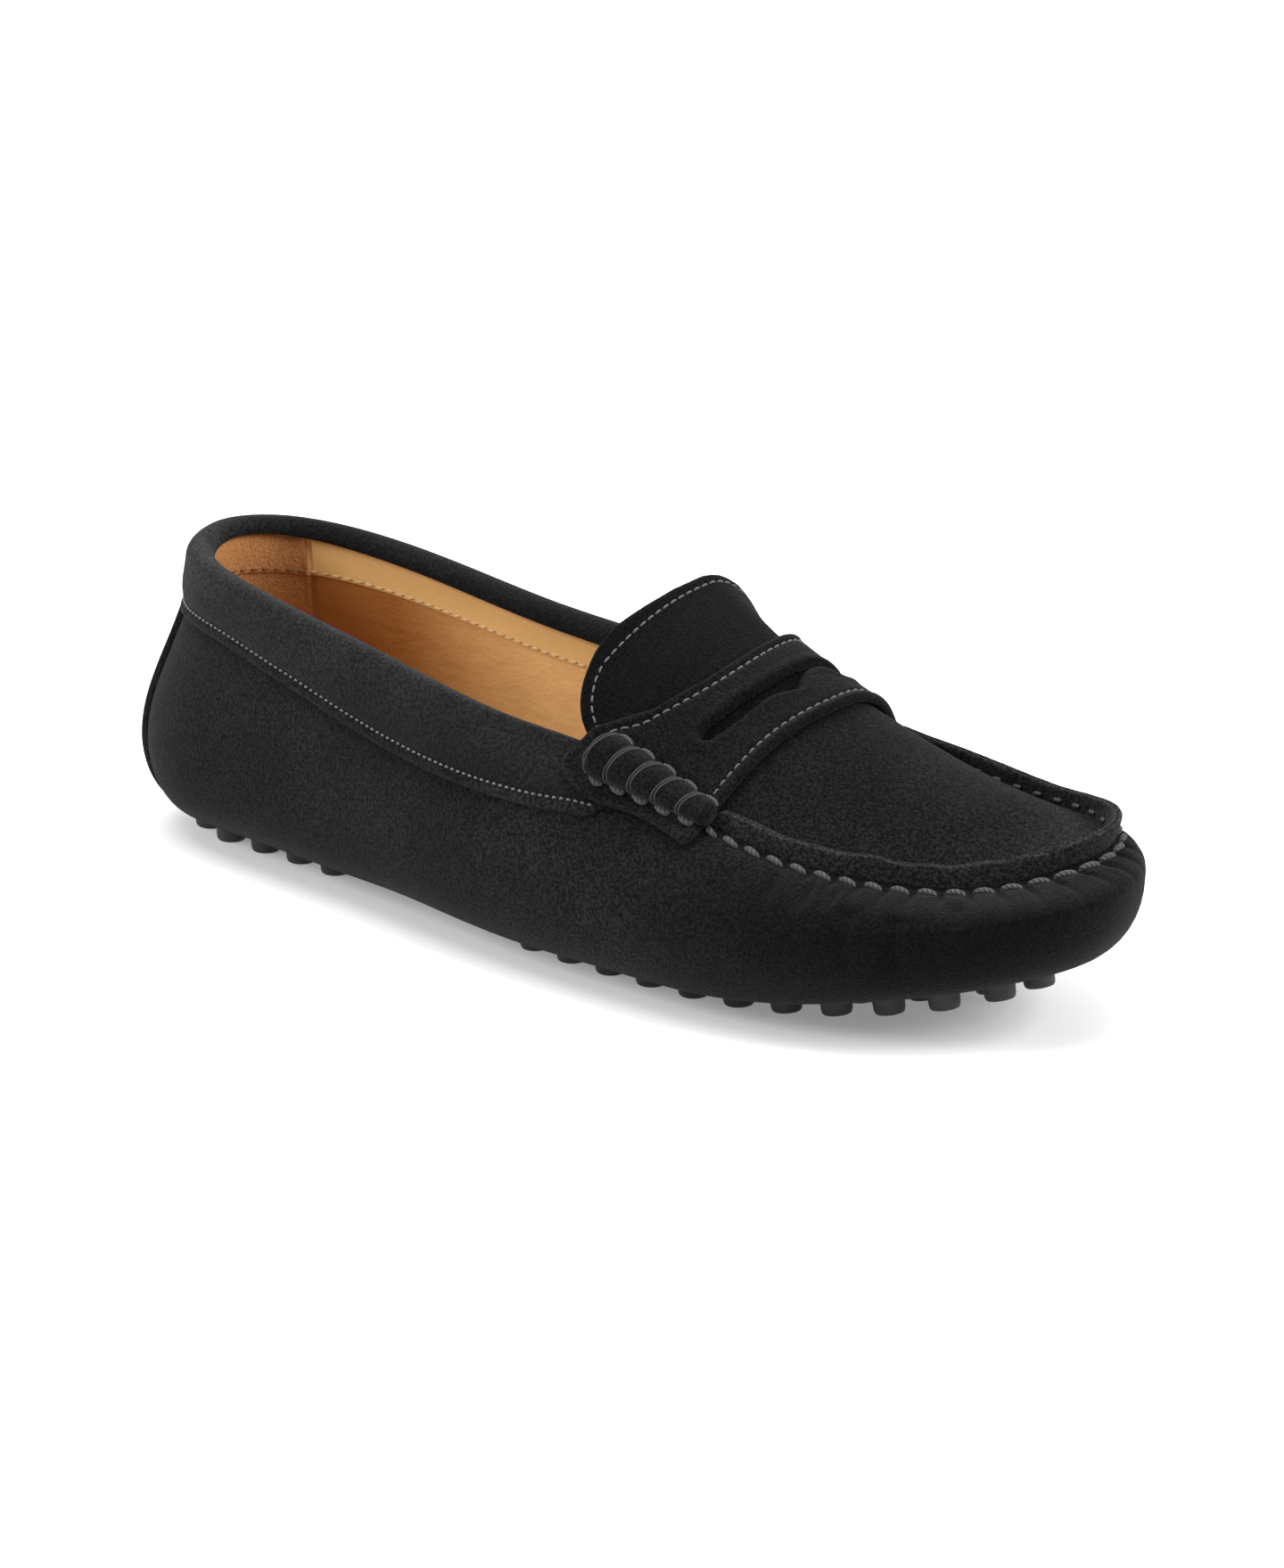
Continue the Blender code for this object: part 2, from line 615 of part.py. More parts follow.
def make_strap(finish):
    """The saddle strap, cut through by its slot."""
    rows = cubic([row.across for row in STRAP], [row[1:] for row in STRAP])
    flap = np.linspace(1.0, STRAP[-1].across, FLAP_ROWS)
    over = np.linspace(-SEAM_CLEAR, SEAM_CLEAR, STRAP_ROWS)
    share = np.concatenate([-flap[::-1], over, flap])
    grids = []
    for lift in (GAP + OVERLAY, GAP):
        lines = []
        for across in share:
            rear, front = rows(across)[0]
            lines.append(saddle(np.linspace(rear, front, STRAP_COLUMNS), across, lift))
        grids.append(np.array(lines))
    strap = sheet_solid("saddle_strap", grids[0], grids[1], finish)
    cutter = make_slot_cutter(finish)
    cutter.hide_render = True
    cutter.display_type = "WIRE"
    cut = strap.modifiers.new("slot", "BOOLEAN")
    cut.operation = "DIFFERENCE"
    cut.object = cutter
    return strap


def slot_outline():
    """The slot seen from above: a bowed rear edge, and a front edge with a bump in its middle."""
    outer = np.array(SLOT)
    inner = outer[-2::-1].copy()
    inner[:, 0] = SLOT[-1].y + (SLOT[-1].y - inner[:, 0]) * SLOT_FAR
    y, rear, front = np.vstack([outer, inner]).T
    back = np.column_stack([rear, y])
    return np.vstack([back, np.column_stack([front, y])[::-1]])


def make_slot_cutter(finish):
    """The slot as a straight block through the strap."""
    outline = slot_outline()
    low = np.column_stack([outline, np.full(len(outline), CUTTER_LOW)])
    high = np.column_stack([outline, np.full(len(outline), CUTTER_HIGH)])
    return strip_solid("slot_cutter", [low, high], finish)


BAND_DEEP = cubic([row.x for row in BAND], [row.deep for row in BAND])


def band_places():
    """The upper's own places round the topline, from the outer end past the heel to the inner end."""
    outer, inner = LAST.halves(HALF_STEPS)
    outer_end = LAST.place(BAND_ENDS[0]) - BAND_END_BACK[0]
    inner_end = LAST.place(BAND_ENDS[1]) + BAND_END_BACK[1] - LAST.girth
    outer_side = outer[outer < outer_end - 1.0][::-1]
    inner_side = inner[1:] - LAST.girth
    inner_side = inner_side[inner_side > inner_end + 1.0]
    return np.concatenate([[outer_end], outer_side, inner_side, [inner_end]])


def make_collar_band(finish):
    """The padded band that wraps the topline: deep outside, rolled over, shallow inside."""
    places = band_places()
    tall = LAST.section(places, 1.0)[1] - LAST.section(places, 0.0)[1]
    deep = BAND_DEEP(LAST.at(places)[:, 0])[:, 0]
    outlines = []
    for place, height, depth in zip(places, tall, deep):
        spot = np.array([place])
        outer_face, outer_back = [], []
        for share in BAND_SHARES:
            level = 1.0 - depth * share / height
            outer_face.append(LAST.skin(spot, level, -GAP - OVERLAY)[0])
            outer_back.append(LAST.skin(spot, level, -GAP)[0])
        inner_face, inner_back = [], []
        for share in (0.0, 1.0):
            level = 1.0 - BAND_INSIDE * share / height
            inner_face.append(LAST.skin(spot, level, WALL + 2 * GAP + OVERLAY)[0])
            inner_back.append(LAST.skin(spot, level, WALL + 2 * GAP)[0])
        face_roll = roll_over(outer_face[-1], inner_face[0])
        back_roll = roll_over(outer_back[-1], inner_back[0])
        face = outer_face + face_roll + inner_face
        back = outer_back + back_roll + inner_back
        outlines.append(np.array(face + back[::-1]))
    return strip_solid("collar_band", outlines, finish)


def roll_over(start, end):
    """Points of a half circle that stands up between two points."""
    middle, half = (start + end) / 2, (start - end) / 2
    radius = np.linalg.norm(half)
    level = np.array([half[0], half[1], 0.0])
    along = level / np.linalg.norm(level)
    slope = half[2] / radius
    up = np.array([-along[0] * slope, -along[1] * slope, math.sqrt(1 - slope**2)])
    return [
        middle + half * math.cos(a) + up * radius * math.sin(a)
        for a in np.linspace(0, math.pi, BAND_ROLL_POINTS)[1:-1]
    ]


def make_heel_tab(finish):
    """The patch that covers the back seam, from the floor edge to the collar band."""
    tall = LAST.section(np.array([0.0]), 1.0)[1] - LAST.section(np.array([0.0]), 0.0)[1]
    top = 1.0 - (float(BAND_DEEP(0.0)[0, 0]) + 2 * GAP) / float(tall[0])
    grids = []
    for depth in (-GAP - OVERLAY, -GAP):
        lines = []
        for level in np.linspace(TAB_FOOT, top, TAB_POINTS):
            share = (level - TAB_FOOT) / (top - TAB_FOOT)
            half = TAB_HALF_FOOT + (TAB_HALF_TOP - TAB_HALF_FOOT) * share
            lines.append(LAST.skin(np.linspace(-half, half, TAB_POINTS), level, depth))
        grids.append(np.array(lines))
    return sheet_solid("heel_tab", grids[0], grids[1], finish)


def make_roll(roll, finish):
    """A roll that binds strap and seam, with a waist at each thread wrap."""
    across = -ROLL_SEAT if roll.side == "outer" else ROLL_SEAT
    stations = np.linspace(roll.rear, roll.front, 4 * ROLL_WRAPS + 1)
    seat = saddle(stations, across, GAP + OVERLAY)
    out = saddle(stations, across, GAP + OVERLAY + 1.0) - seat
    out /= np.linalg.norm(out, axis=1)[:, None]
    ahead = np.gradient(seat, axis=0)
    ahead /= np.linalg.norm(ahead, axis=1)[:, None]
    beside = np.cross(ahead, out)
    share = np.linspace(0.0, 1.0, len(stations))
    full = roll.rear_radius + (roll.front_radius - roll.rear_radius) * share
    swell = np.abs(np.sin(share * ROLL_WRAPS * math.pi)) ** ROLL_SWELL
    radius = full * (ROLL_WAIST + (1 - ROLL_WAIST) * swell)
    radius[[0, -1]] *= ROLL_END
    centre = seat + out * (GAP + full)[:, None]
    turn = np.arange(ROLL_SIDES) * 2 * math.pi / ROLL_SIDES
    outlines = [
        np.array([c + r * (math.cos(a) * o + math.sin(a) * b) for a in turn])
        for c, r, o, b in zip(centre, radius, out, beside)
    ]
    return strip_solid("roll_" + roll.side, outlines, finish)


def centre_footprint(objects):
    """Moves the meshes so that the middle of their footprint is the origin."""
    bpy.context.view_layer.update()
    corners = np.array([corner for obj in objects for corner in obj.bound_box])
    middle = (corners.min(axis=0) + corners.max(axis=0)) / 2
    for obj in bpy.data.objects:
        for vertex in obj.data.vertices:
            vertex.co.x -= middle[0]
            vertex.co.y -= middle[1]
    print("footprint middle, mm:", middle / MM)


def main():
    for obj in list(bpy.data.objects):
        bpy.data.objects.remove(obj, do_unlink=True)
    pieces = [
        make_upper(material("upper_suede", *SUEDE)),
        make_sole(material("sole_rubber", *RUBBER)),
        make_insole(material("insole_leather", *TAN)),
        make_apron(material("apron_suede", *SUEDE)),
        make_strap(material("strap_suede", *SUEDE)),
        make_collar_band(material("collar_suede", *SUEDE)),
        make_heel_tab(material("heel_tab_suede", *SUEDE)),
        *[make_roll(roll, material(f"roll_{roll.side}_suede", *SUEDE)) for roll in ROLLS],
    ]
    centre_footprint(pieces)


main()
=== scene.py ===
# %% [markdown]
# # A suede driving moccasin
# The shoe is a right-foot moccasin of black suede, with a tan lining and a sole of rubber pebbles. The CAD
# frame fixes its sizes and places. Each solid could be shown as it is, but its edges are sharp and its
# walls are faceted. So each one is replaced here by a finer mesh made on the same last, with round
# edges, sewn seams and a napped finish.

import math
from collections import namedtuple

import bpy
import numpy as np
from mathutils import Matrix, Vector


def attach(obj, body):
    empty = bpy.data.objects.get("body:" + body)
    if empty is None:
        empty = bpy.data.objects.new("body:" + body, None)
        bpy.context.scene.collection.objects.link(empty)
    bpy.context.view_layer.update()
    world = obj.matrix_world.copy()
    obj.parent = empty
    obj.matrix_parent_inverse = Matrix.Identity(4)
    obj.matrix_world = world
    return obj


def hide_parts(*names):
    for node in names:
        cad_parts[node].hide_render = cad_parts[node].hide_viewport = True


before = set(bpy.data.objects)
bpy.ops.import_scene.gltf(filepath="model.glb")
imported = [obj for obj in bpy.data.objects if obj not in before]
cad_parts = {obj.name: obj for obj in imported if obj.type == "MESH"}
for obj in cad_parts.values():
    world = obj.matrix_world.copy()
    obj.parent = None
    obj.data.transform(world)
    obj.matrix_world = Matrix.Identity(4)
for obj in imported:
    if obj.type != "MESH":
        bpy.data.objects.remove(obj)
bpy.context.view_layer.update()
scene = bpy.context.scene
MM = 0.001
print("CAD nodes:", ", ".join(sorted(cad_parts)))

# %% [markdown]
# ## Camera
# The photograph looks down on the outer side and the toe with a long lens. A camera could be placed by
# eye, but an angle, a distance and a lens length say the same in four numbers. The shoe sits a little
# to the left of the middle and above it, and a small shift keeps that without turning the camera.

# %% Camera
IMAGE_TALL = 1759  # pixels; a shift is a share of the longer side
AIM = Vector((2.67, -0.34, 35.0)) * MM
AZIMUTH = math.radians(42.70)
ELEVATION = math.radians(16.89)
DISTANCE = 1.414
LENS = 160.45
LEFT_OF_MIDDLE, ABOVE_MIDDLE = 24.5, 26.5  # pixels

back = Vector((
    math.sin(AZIMUTH) * math.cos(ELEVATION),
    -math.cos(AZIMUTH) * math.cos(ELEVATION),
    math.sin(ELEVATION),
))
camera = bpy.data.objects.new("camera", bpy.data.cameras.new("camera"))
scene.collection.objects.link(camera)
camera.location = AIM + back * DISTANCE
camera.rotation_euler = (-back).to_track_quat("-Z", "Y").to_euler()
camera.data.lens = LENS
camera.data.shift_x = LEFT_OF_MIDDLE / IMAGE_TALL
camera.data.shift_y = -ABOVE_MIDDLE / IMAGE_TALL
scene.camera = camera
print("camera at", [round(c, 3) for c in camera.location])

# %% [markdown]
# ## Floor and light
# The shoe stands on a white sweep under soft light. One large lamp overhead gives the soft shadow. Three
# more stand round the shoe, for the near side of the heel, the toe and the far side, and a white sky that
# is darker at the horizon lifts the rest. The plain Standard transform keeps the white floor white.

# %% Floor and light
SKY_HORIZON, SKY_WHITE_AT, SKY_POWER = 0.36, 0.75, 0.6  # grey at the horizon, height where it is white
scene.view_settings.view_transform = "Standard"
world = bpy.data.worlds.new("studio")
world.use_nodes = True
sky = world.node_tree
sky_coords = sky.nodes.new("ShaderNodeTexCoord")
sky_height = sky.nodes.new("ShaderNodeSeparateXYZ")
sky_shade = sky.nodes.new("ShaderNodeValToRGB")
sky_shade.color_ramp.elements[0].color = (SKY_HORIZON, SKY_HORIZON, SKY_HORIZON, 1.0)
sky_shade.color_ramp.elements[1].position = SKY_WHITE_AT
sky.links.new(sky_coords.outputs["Generated"], sky_height.inputs["Vector"])
sky.links.new(sky_height.outputs["Z"], sky_shade.inputs["Fac"])
sky.links.new(sky_shade.outputs["Color"], sky.nodes["Background"].inputs["Color"])
sky.nodes["Background"].inputs["Strength"].default_value = SKY_POWER
scene.world = world

Lamp = namedtuple("Lamp", "name place size power")  # metres and watts
LAMPS = (
    Lamp("key", (-0.1, -0.22, 1.65), 1.5, 34.0),
    Lamp("near_side", (-0.75, -1.5, 1.0), 0.7, 28.0),
    Lamp("front", (1.3, 0.6, 0.95), 0.9, 38.0),
    Lamp("behind", (-0.9, 1.3, 1.1), 1.2, 14.0),
)
for row in LAMPS:
    lamp = bpy.data.objects.new(row.name, bpy.data.lights.new(row.name, "AREA"))
    lamp.data.size = row.size
    lamp.data.energy = row.power
    lamp.location = row.place
    lamp.rotation_euler = (AIM - Vector(row.place)).to_track_quat("-Z", "Y").to_euler()
    scene.collection.objects.link(lamp)

FLOOR_HALF, FLOOR_GREY = 3.0, 0.62
FLOOR_GLOW = 0.24  # a sweep lit from below, so that the shadow stays light
floor_mesh = bpy.data.meshes.new("floor")
corners = [(-1, -1), (1, -1), (1, 1), (-1, 1)]
floor_mesh.from_pydata([(x * FLOOR_HALF, y * FLOOR_HALF, 0.0) for x, y in corners], [], [(0, 1, 2, 3)])
floor = bpy.data.objects.new("floor", floor_mesh)
scene.collection.objects.link(floor)
floor_paint = bpy.data.materials.new("white_sweep")
floor_paint.use_nodes = True
paint_shader = floor_paint.node_tree.nodes["Principled BSDF"]
paint_shader.inputs["Base Color"].default_value = (FLOOR_GREY, FLOOR_GREY, FLOOR_GREY, 1.0)
paint_shader.inputs["Roughness"].default_value = 0.9
paint_shader.inputs["Specular IOR Level"].default_value = 0.0
paint_shader.inputs["Emission Color"].default_value = (1.0, 1.0, 1.0, 1.0)
paint_shader.inputs["Emission Strength"].default_value = FLOOR_GLOW
floor_mesh.materials.append(floor_paint)
print("lamps:", len(LAMPS))

# %% [markdown]
# ## Finishes
# Suede is leather with its fibres brushed up. It hardly shines, it catches light at a glancing angle, and
# it looks lighter where the fibres lie the other way. A noise of about 3 cm makes those brushed patches,
# a fine one makes the fibres, and the shader's sheen gives the glancing light. On some panels a painted
# shade runs along an axis, darker where less light falls. The texture follows the object's own space, so
# it stays with the shoe from every side.

# %% Nodes that every finish uses
def new_finish(name, roughness, **values):
    """A material with its shader; values are the shader's own sockets."""
    finish = bpy.data.materials.new(name)
    finish.use_nodes = True
    shader = finish.node_tree.nodes["Principled BSDF"]
    shader.inputs["Roughness"].default_value = roughness
    for socket, value in values.items():
        shader.inputs[socket.replace("_", " ")].default_value = value
    return finish, finish.node_tree, shader


def noise(tree, scale, detail, stretch=(1.0, 1.0, 1.0)):
    """A noise over the object, with this many cells in a metre."""
    coords = tree.nodes.new("ShaderNodeTexCoord")
    mapping = tree.nodes.new("ShaderNodeMapping")
    texture = tree.nodes.new("ShaderNodeTexNoise")
    mapping.inputs["Scale"].default_value = stretch
    texture.inputs["Scale"].default_value = scale
    texture.inputs["Detail"].default_value = detail
    tree.links.new(coords.outputs["Object"], mapping.inputs["Vector"])
    tree.links.new(mapping.outputs["Vector"], texture.inputs["Vector"])
    return texture.outputs[0]


def ramp(tree, factor, *stops):
    """Colours laid out along a factor."""
    node = tree.nodes.new("ShaderNodeValToRGB")
    node.color_ramp.elements[0].position = stops[0][0]
    node.color_ramp.elements[1].position = stops[1][0]
    for element, stop in zip(node.color_ramp.elements, stops):
        element.color = (*stop[1], 1.0)
    tree.links.new(factor, node.inputs["Fac"])
    return node.outputs["Color"]


MIX_A, MIX_B, MIX_RESULT = 6, 7, 2  # the mix node's sockets for colours


def multiply(tree, a, b):
    """One colour times another."""
    node = tree.nodes.new("ShaderNodeMix")
    node.data_type = "RGBA"
    node.blend_type = "MULTIPLY"
    node.inputs["Factor"].default_value = 1.0
    tree.links.new(a, node.inputs[MIX_A])
    tree.links.new(b, node.inputs[MIX_B])
    return node.outputs[MIX_RESULT]


def bump(tree, height, strength, distance, under=None):
    """A bump of this height in metres, laid over another one if given."""
    node = tree.nodes.new("ShaderNodeBump")
    node.inputs["Strength"].default_value = strength
    node.inputs["Distance"].default_value = distance
    tree.links.new(height, node.inputs["Height"])
    if under is not None:
        tree.links.new(under, node.inputs["Normal"])
    return node.outputs["Normal"]


WHITE = (1.0, 1.0, 1.0)


def along_axis(tree, axis, dark_at, light_at, shade):
    """A shade at one station that fades to white at the other; stations are metres in the shoe's frame."""
    coords, axes = tree.nodes.new("ShaderNodeTexCoord"), tree.nodes.new("ShaderNodeSeparateXYZ")
    station = tree.nodes.new("ShaderNodeMapRange")
    station.inputs["From Min"].default_value = dark_at
    station.inputs["From Max"].default_value = light_at
    tree.links.new(coords.outputs["Object"], axes.inputs["Vector"])
    tree.links.new(axes.outputs[axis], station.inputs["Value"])
    return ramp(tree, station.outputs["Result"], (0.0, shade), (1.0, WHITE))


# %% Suede
# An axis, the metres along it between which the painted shade fades from dark to light, and the grey at the
# dark end
PaintedShade = namedtuple("PaintedShade", "axis dark_at light_at grey")
# painted shade: the tongue, the toe, the strap over the apron, and the collar's inner side and lower edge are
# darker
APRON_PAINTED_SHADE = PaintedShade("X", 0.025, 0.085, 0.24)
UPPER_PAINTED_SHADE = PaintedShade("X", 0.092, 0.035, 0.32)
STRAP_PAINTED_SHADE = PaintedShade("Y", -0.022, -0.037, 0.56)
COLLAR_PAINTED_SHADE = PaintedShade("Y", 0.012, -0.016, 0.42)
COLLAR_PAINTED_SHADE_LOW = PaintedShade("Z", 0.036, 0.063, 0.28)
PATCH_CELLS, TUFT_CELLS, FIBRE_CELLS = 30.0, 850.0, 1700.0  # in a metre
FIBRE_TALL = 0.0006  # metres


def suede(name, dark, light, sheen=0.06, fleck=0.16, painted_shades=()):
    """Brushed suede: patches of lighter and darker pile, fine fibres, and painted shade along the panel."""
    finish, tree, shader = new_finish(name, 0.95, Sheen_Weight=sheen, Sheen_Roughness=0.5)
    shader.inputs["Specular IOR Level"].default_value = 0.05
    shader.inputs["Sheen Tint"].default_value = (0.70, 0.71, 0.75, 1.0)
    brushed = ramp(tree, noise(tree, PATCH_CELLS, 2.5), (0.32, dark), (0.70, light))
    tufts = ramp(tree, noise(tree, TUFT_CELLS, 4.0), (0.34, (0.85 + 0.15 * fleck,) * 3), (0.66, WHITE))
    fibres = noise(tree, FIBRE_CELLS, 2.0)
    flecks = ramp(tree, fibres, (0.40, (fleck,) * 3), (0.62, WHITE))
    pile = multiply(tree, multiply(tree, brushed, tufts), flecks)
    # painted shade: each ramp darkens the colour where less light falls on the panel
    for shade_ramp in painted_shades:
        shade = along_axis(tree, shade_ramp.axis, shade_ramp.dark_at, shade_ramp.light_at, (shade_ramp.grey,) * 3)
        pile = multiply(tree, pile, shade)
    tree.links.new(pile, shader.inputs["Base Color"])
    tree.links.new(bump(tree, fibres, 0.5, FIBRE_TALL), shader.inputs["Normal"])
    return finish


upper_suede = suede("upper_suede", (0.0062, 0.0062, 0.0062), (0.0133, 0.0132, 0.0132), painted_shades=(UPPER_PAINTED_SHADE,))
apron_suede = suede(
    "apron_suede", (0.0076, 0.0075, 0.0075), (0.0154, 0.0152, 0.0152), 0.03, painted_shades=(APRON_PAINTED_SHADE,)
)
roll_suede = suede("roll_suede", (0.0050, 0.0049, 0.0049), (0.0102, 0.0100, 0.0100))
strap_suede = suede(
    "strap_suede", (0.0077, 0.0075, 0.0075), (0.0161, 0.0157, 0.0157), 0.045, painted_shades=(STRAP_PAINTED_SHADE,)
)
collar_suede = suede(
    "collar_suede", (0.0140, 0.0140, 0.0141), (0.0286, 0.0286, 0.0287), fleck=0.32,
    painted_shades=(COLLAR_PAINTED_SHADE, COLLAR_PAINTED_SHADE_LOW),
)
# painted light: a lighter suede for the lip's faces, which stand upright in shade, and the collar's margin
lip_painted_light_suede = suede("lip_painted_light_suede", (0.0085, 0.0085, 0.0085), (0.0175, 0.0174, 0.0174))
tab_suede = suede("heel_patch_suede", (0.0068, 0.0068, 0.0068), (0.0142, 0.0141, 0.0141), 0.08)
cut_suede = suede("cut_suede_edge", (0.015, 0.015, 0.016), (0.028, 0.028, 0.029))
# painted shadow: a near-black suede for the apron where it shows through the slot
slot_shadow_suede = suede("slot_floor_painted_shadow_suede", (0.003, 0.003, 0.003), (0.005, 0.005, 0.005), 0.0)
print("suedes:", ", ".join(finish.name for finish in bpy.data.materials if "suede" in finish.name))

# %% [markdown]
# ## Leather, thread and rubber
# The lining is smooth tan leather with a fine grain, which a cell texture gives as tiny pebbles. Painted
# shade darkens it towards the heel. The heel grip is rough leather in a redder brown, so it is made as a
# suede.
# Thread is twisted, so bands of painted shade between the plies run slantwise round each strand, by the
# strand's own coordinates. Rubber is matt, with a faint moulded skin.

# %% Leather, thread and rubber
# painted shade: the lining is darker towards the heel, deep inside the shoe
PAINTED_SHADE_REAR, PAINTED_SHADE_FRONT = -0.085, -0.042  # metres along the foot between which the lining grows lighter
GRAIN_CELLS, GRAIN_TALL = 1100.0, 0.0003
WRINKLE_CELLS, WRINKLE_TALL = 150.0, 0.0012
TWIST_SCALE = 0.45


def leather(name, dark, light, roughness=0.46, wrinkle=0.12, painted_rear_shade=WHITE):
    """Smooth grain, with fine wrinkles and painted shade towards the rear end."""
    finish, tree, shader = new_finish(name, roughness)
    shader.inputs["Specular IOR Level"].default_value = 0.35
    colour = ramp(tree, noise(tree, 60.0, 4.0), (0.3, dark), (0.7, light))
    if painted_rear_shade != WHITE:
        colour = multiply(tree, colour, along_axis(tree, "X", PAINTED_SHADE_REAR, PAINTED_SHADE_FRONT, painted_rear_shade))
    tree.links.new(colour, shader.inputs["Base Color"])
    cells = tree.nodes.new("ShaderNodeTexVoronoi")
    cells.inputs["Scale"].default_value = GRAIN_CELLS
    coords = tree.nodes.new("ShaderNodeTexCoord")
    tree.links.new(coords.outputs["Object"], cells.inputs["Vector"])
    creased = bump(tree, noise(tree, WRINKLE_CELLS, 3.0, (1.0, 1.0, 2.2)), wrinkle, WRINKLE_TALL)
    grained = bump(tree, cells.outputs["Distance"], 0.2, GRAIN_TALL, creased)
    tree.links.new(grained, shader.inputs["Normal"])
    return finish


def thread(name, colour):
    """Twisted thread, with painted shade between its plies."""
    finish, tree, shader = new_finish(name, 0.7, Sheen_Weight=0.05, Sheen_Roughness=0.4)
    shader.inputs["Specular IOR Level"].default_value = 0.15
    coords = tree.nodes.new("ShaderNodeTexCoord")
    twist = tree.nodes.new("ShaderNodeTexWave")
    twist.bands_direction = "DIAGONAL"
    twist.inputs["Scale"].default_value = TWIST_SCALE
    tree.links.new(coords.outputs["UV"], twist.inputs["Vector"])
    # painted shade: the thread is darker between the plies of its twist
    shade = tuple(0.45 * c for c in colour)
    plies = ramp(tree, twist.outputs["Fac"], (0.05, shade), (0.6, colour))
    tree.links.new(plies, shader.inputs["Base Color"])
    tree.links.new(bump(tree, twist.outputs["Fac"], 0.5, 0.0004), shader.inputs["Normal"])
    return finish


def rubber(name, dark, light):
    """Matt rubber with a faint moulded skin."""
    finish, tree, shader = new_finish(name, 0.58)
    shader.inputs["Specular IOR Level"].default_value = 0.4
    tree.links.new(ramp(tree, noise(tree, 90.0, 4.0), (0.3, dark), (0.7, light)), shader.inputs["Base Color"])
    tree.links.new(bump(tree, noise(tree, 900.0, 2.0), 0.2, 0.0003), shader.inputs["Normal"])
    return finish


# painted shade on the lining towards the heel
lining_leather = leather(
    "lining_leather", (0.58, 0.350, 0.142), (0.65, 0.400, 0.166), 0.46, 0.3, painted_rear_shade=(0.50, 0.32, 0.19)
)
facing_leather = leather("facing_leather", (0.60, 0.375, 0.148), (0.67, 0.420, 0.168), 0.42, 0.05)
grip_suede = suede("heel_grip_suede", (0.36, 0.165, 0.060), (0.48, 0.225, 0.082), 0.06, 0.8)
insole_leather = leather("insole_leather", (0.30, 0.160, 0.065), (0.38, 0.210, 0.090))
hand_thread = thread("hand_thread", (0.058, 0.058, 0.060))
wrap_thread = thread("wrap_thread", (0.043, 0.043, 0.044))
machine_thread = thread("machine_thread", (0.115, 0.115, 0.117))
collar_thread = thread("collar_thread", (0.20, 0.20, 0.205))
lining_thread = thread("lining_thread", (0.82, 0.60, 0.36))
grip_thread = thread("grip_thread", (0.20, 0.095, 0.040))
sole_rubber = rubber("sole_rubber", (0.013, 0.013, 0.014), (0.024, 0.024, 0.025))
print("finishes:", len(bpy.data.materials))

# %% [markdown]
# ## The last
# A shoemaker stretches leather over a last, a wooden foot. Its shape here is one short table: each row is a
# place round the shoe, from the heel along the outer side to the toe and back, in millimetres from the back
# of the heel. A smooth closed curve through the rows gives every place between. The rows are the ones that
# the solids were made from, so a piece made with them lies where its solid lies. The underside is a short
# formula: flat, with hardly any arch, lifted at the back of the heel and sprung at the toe.

# %% Table of the last
FOOTPRINT_MIDDLE = np.array([124.333, 0.341, 0.0])
LENGTH, WALL, GAP = 251.0, 1.8, 0.35
#   turn  how far the wall turns in under the foot, rise  from its bottom to its widest line
#   lean  how far the top edge lies inside that line, edge  height of the top edge
#   curl  1 where the wall stands up again, tread  how far in the outer pebbles stand
Place = namedtuple("Place", "name x y turn rise lean edge curl tread")
PLACES = (
    Place("heel", 0.0, 0.0, 7.4, 15.0, 12.6, 62.0, 1.0, 12.6),
    Place("outer_heel_corner", 11.0, -21.5, 7.8, 15.0, 10.8, 61.0, 1.0, 13.4),
    Place("outer_heel_side", 39.0, -30.5, 9.4, 15.0, 7.2, 58.5, 0.6, 17.0),
    Place("outer_waist", 85.0, -35.5, 9.8, 15.2, 6.2, 53.6, 0.2, 18.0),
    Place("outer_throat", 128.0, -41.5, 10.8, 15.4, 9.0, 48.6, 0.0, 18.8),
    Place("outer_roll", 152.0, -42.4, 11.8, 15.8, 11.4, 46.0, 0.0, 19.0),
    Place("outer_ball", 182.0, -41.3, 12.6, 16.0, 11.8, 38.4, -0.15, 20.0),
    Place("outer_toe_side", 213.0, -35.2, 13.0, 16.0, 12.9, 33.6, -0.3, 21.5),
    Place("outer_toe_corner", 238.0, -21.0, 12.0, 16.0, 14.0, 32.8, -0.4, 22.0),
    Place("toe", 250.6, 6.0, 12.0, 16.0, 12.0, 35.2, -0.5, 22.0),
    Place("inner_toe_corner", 240.0, 28.0, 12.0, 16.4, 5.2, 37.4, -0.4, 20.0),
    Place("inner_toe_side", 214.5, 41.0, 12.0, 16.0, 10.0, 37.4, -0.3, 19.0),
    Place("inner_ball", 182.0, 42.8, 12.0, 16.0, 12.6, 39.8, -0.15, 19.0),
    Place("inner_roll", 152.0, 39.8, 12.0, 16.0, 11.2, 45.2, 0.0, 19.0),
    Place("inner_throat", 128.0, 34.6, 12.0, 16.0, 7.6, 48.8, 0.0, 18.0),
    Place("inner_waist", 85.0, 29.8, 11.0, 16.0, 4.6, 52.4, 0.2, 17.0),
    Place("inner_heel_side", 38.5, 30.2, 9.6, 15.0, 6.2, 57.8, 0.6, 16.4),
    Place("inner_heel_corner", 11.5, 21.5, 7.8, 15.0, 9.8, 61.0, 1.0, 13.4),
)
print("places round the last:", len(PLACES))


# %% Smooth curves through a table
def smooth_step(low, high, x):
    """0 at low, 1 at high, with an S curve between; low may be the larger."""
    t = np.clip((x - low) / (high - low), 0.0, 1.0)
    return t * t * (3.0 - 2.0 * t)


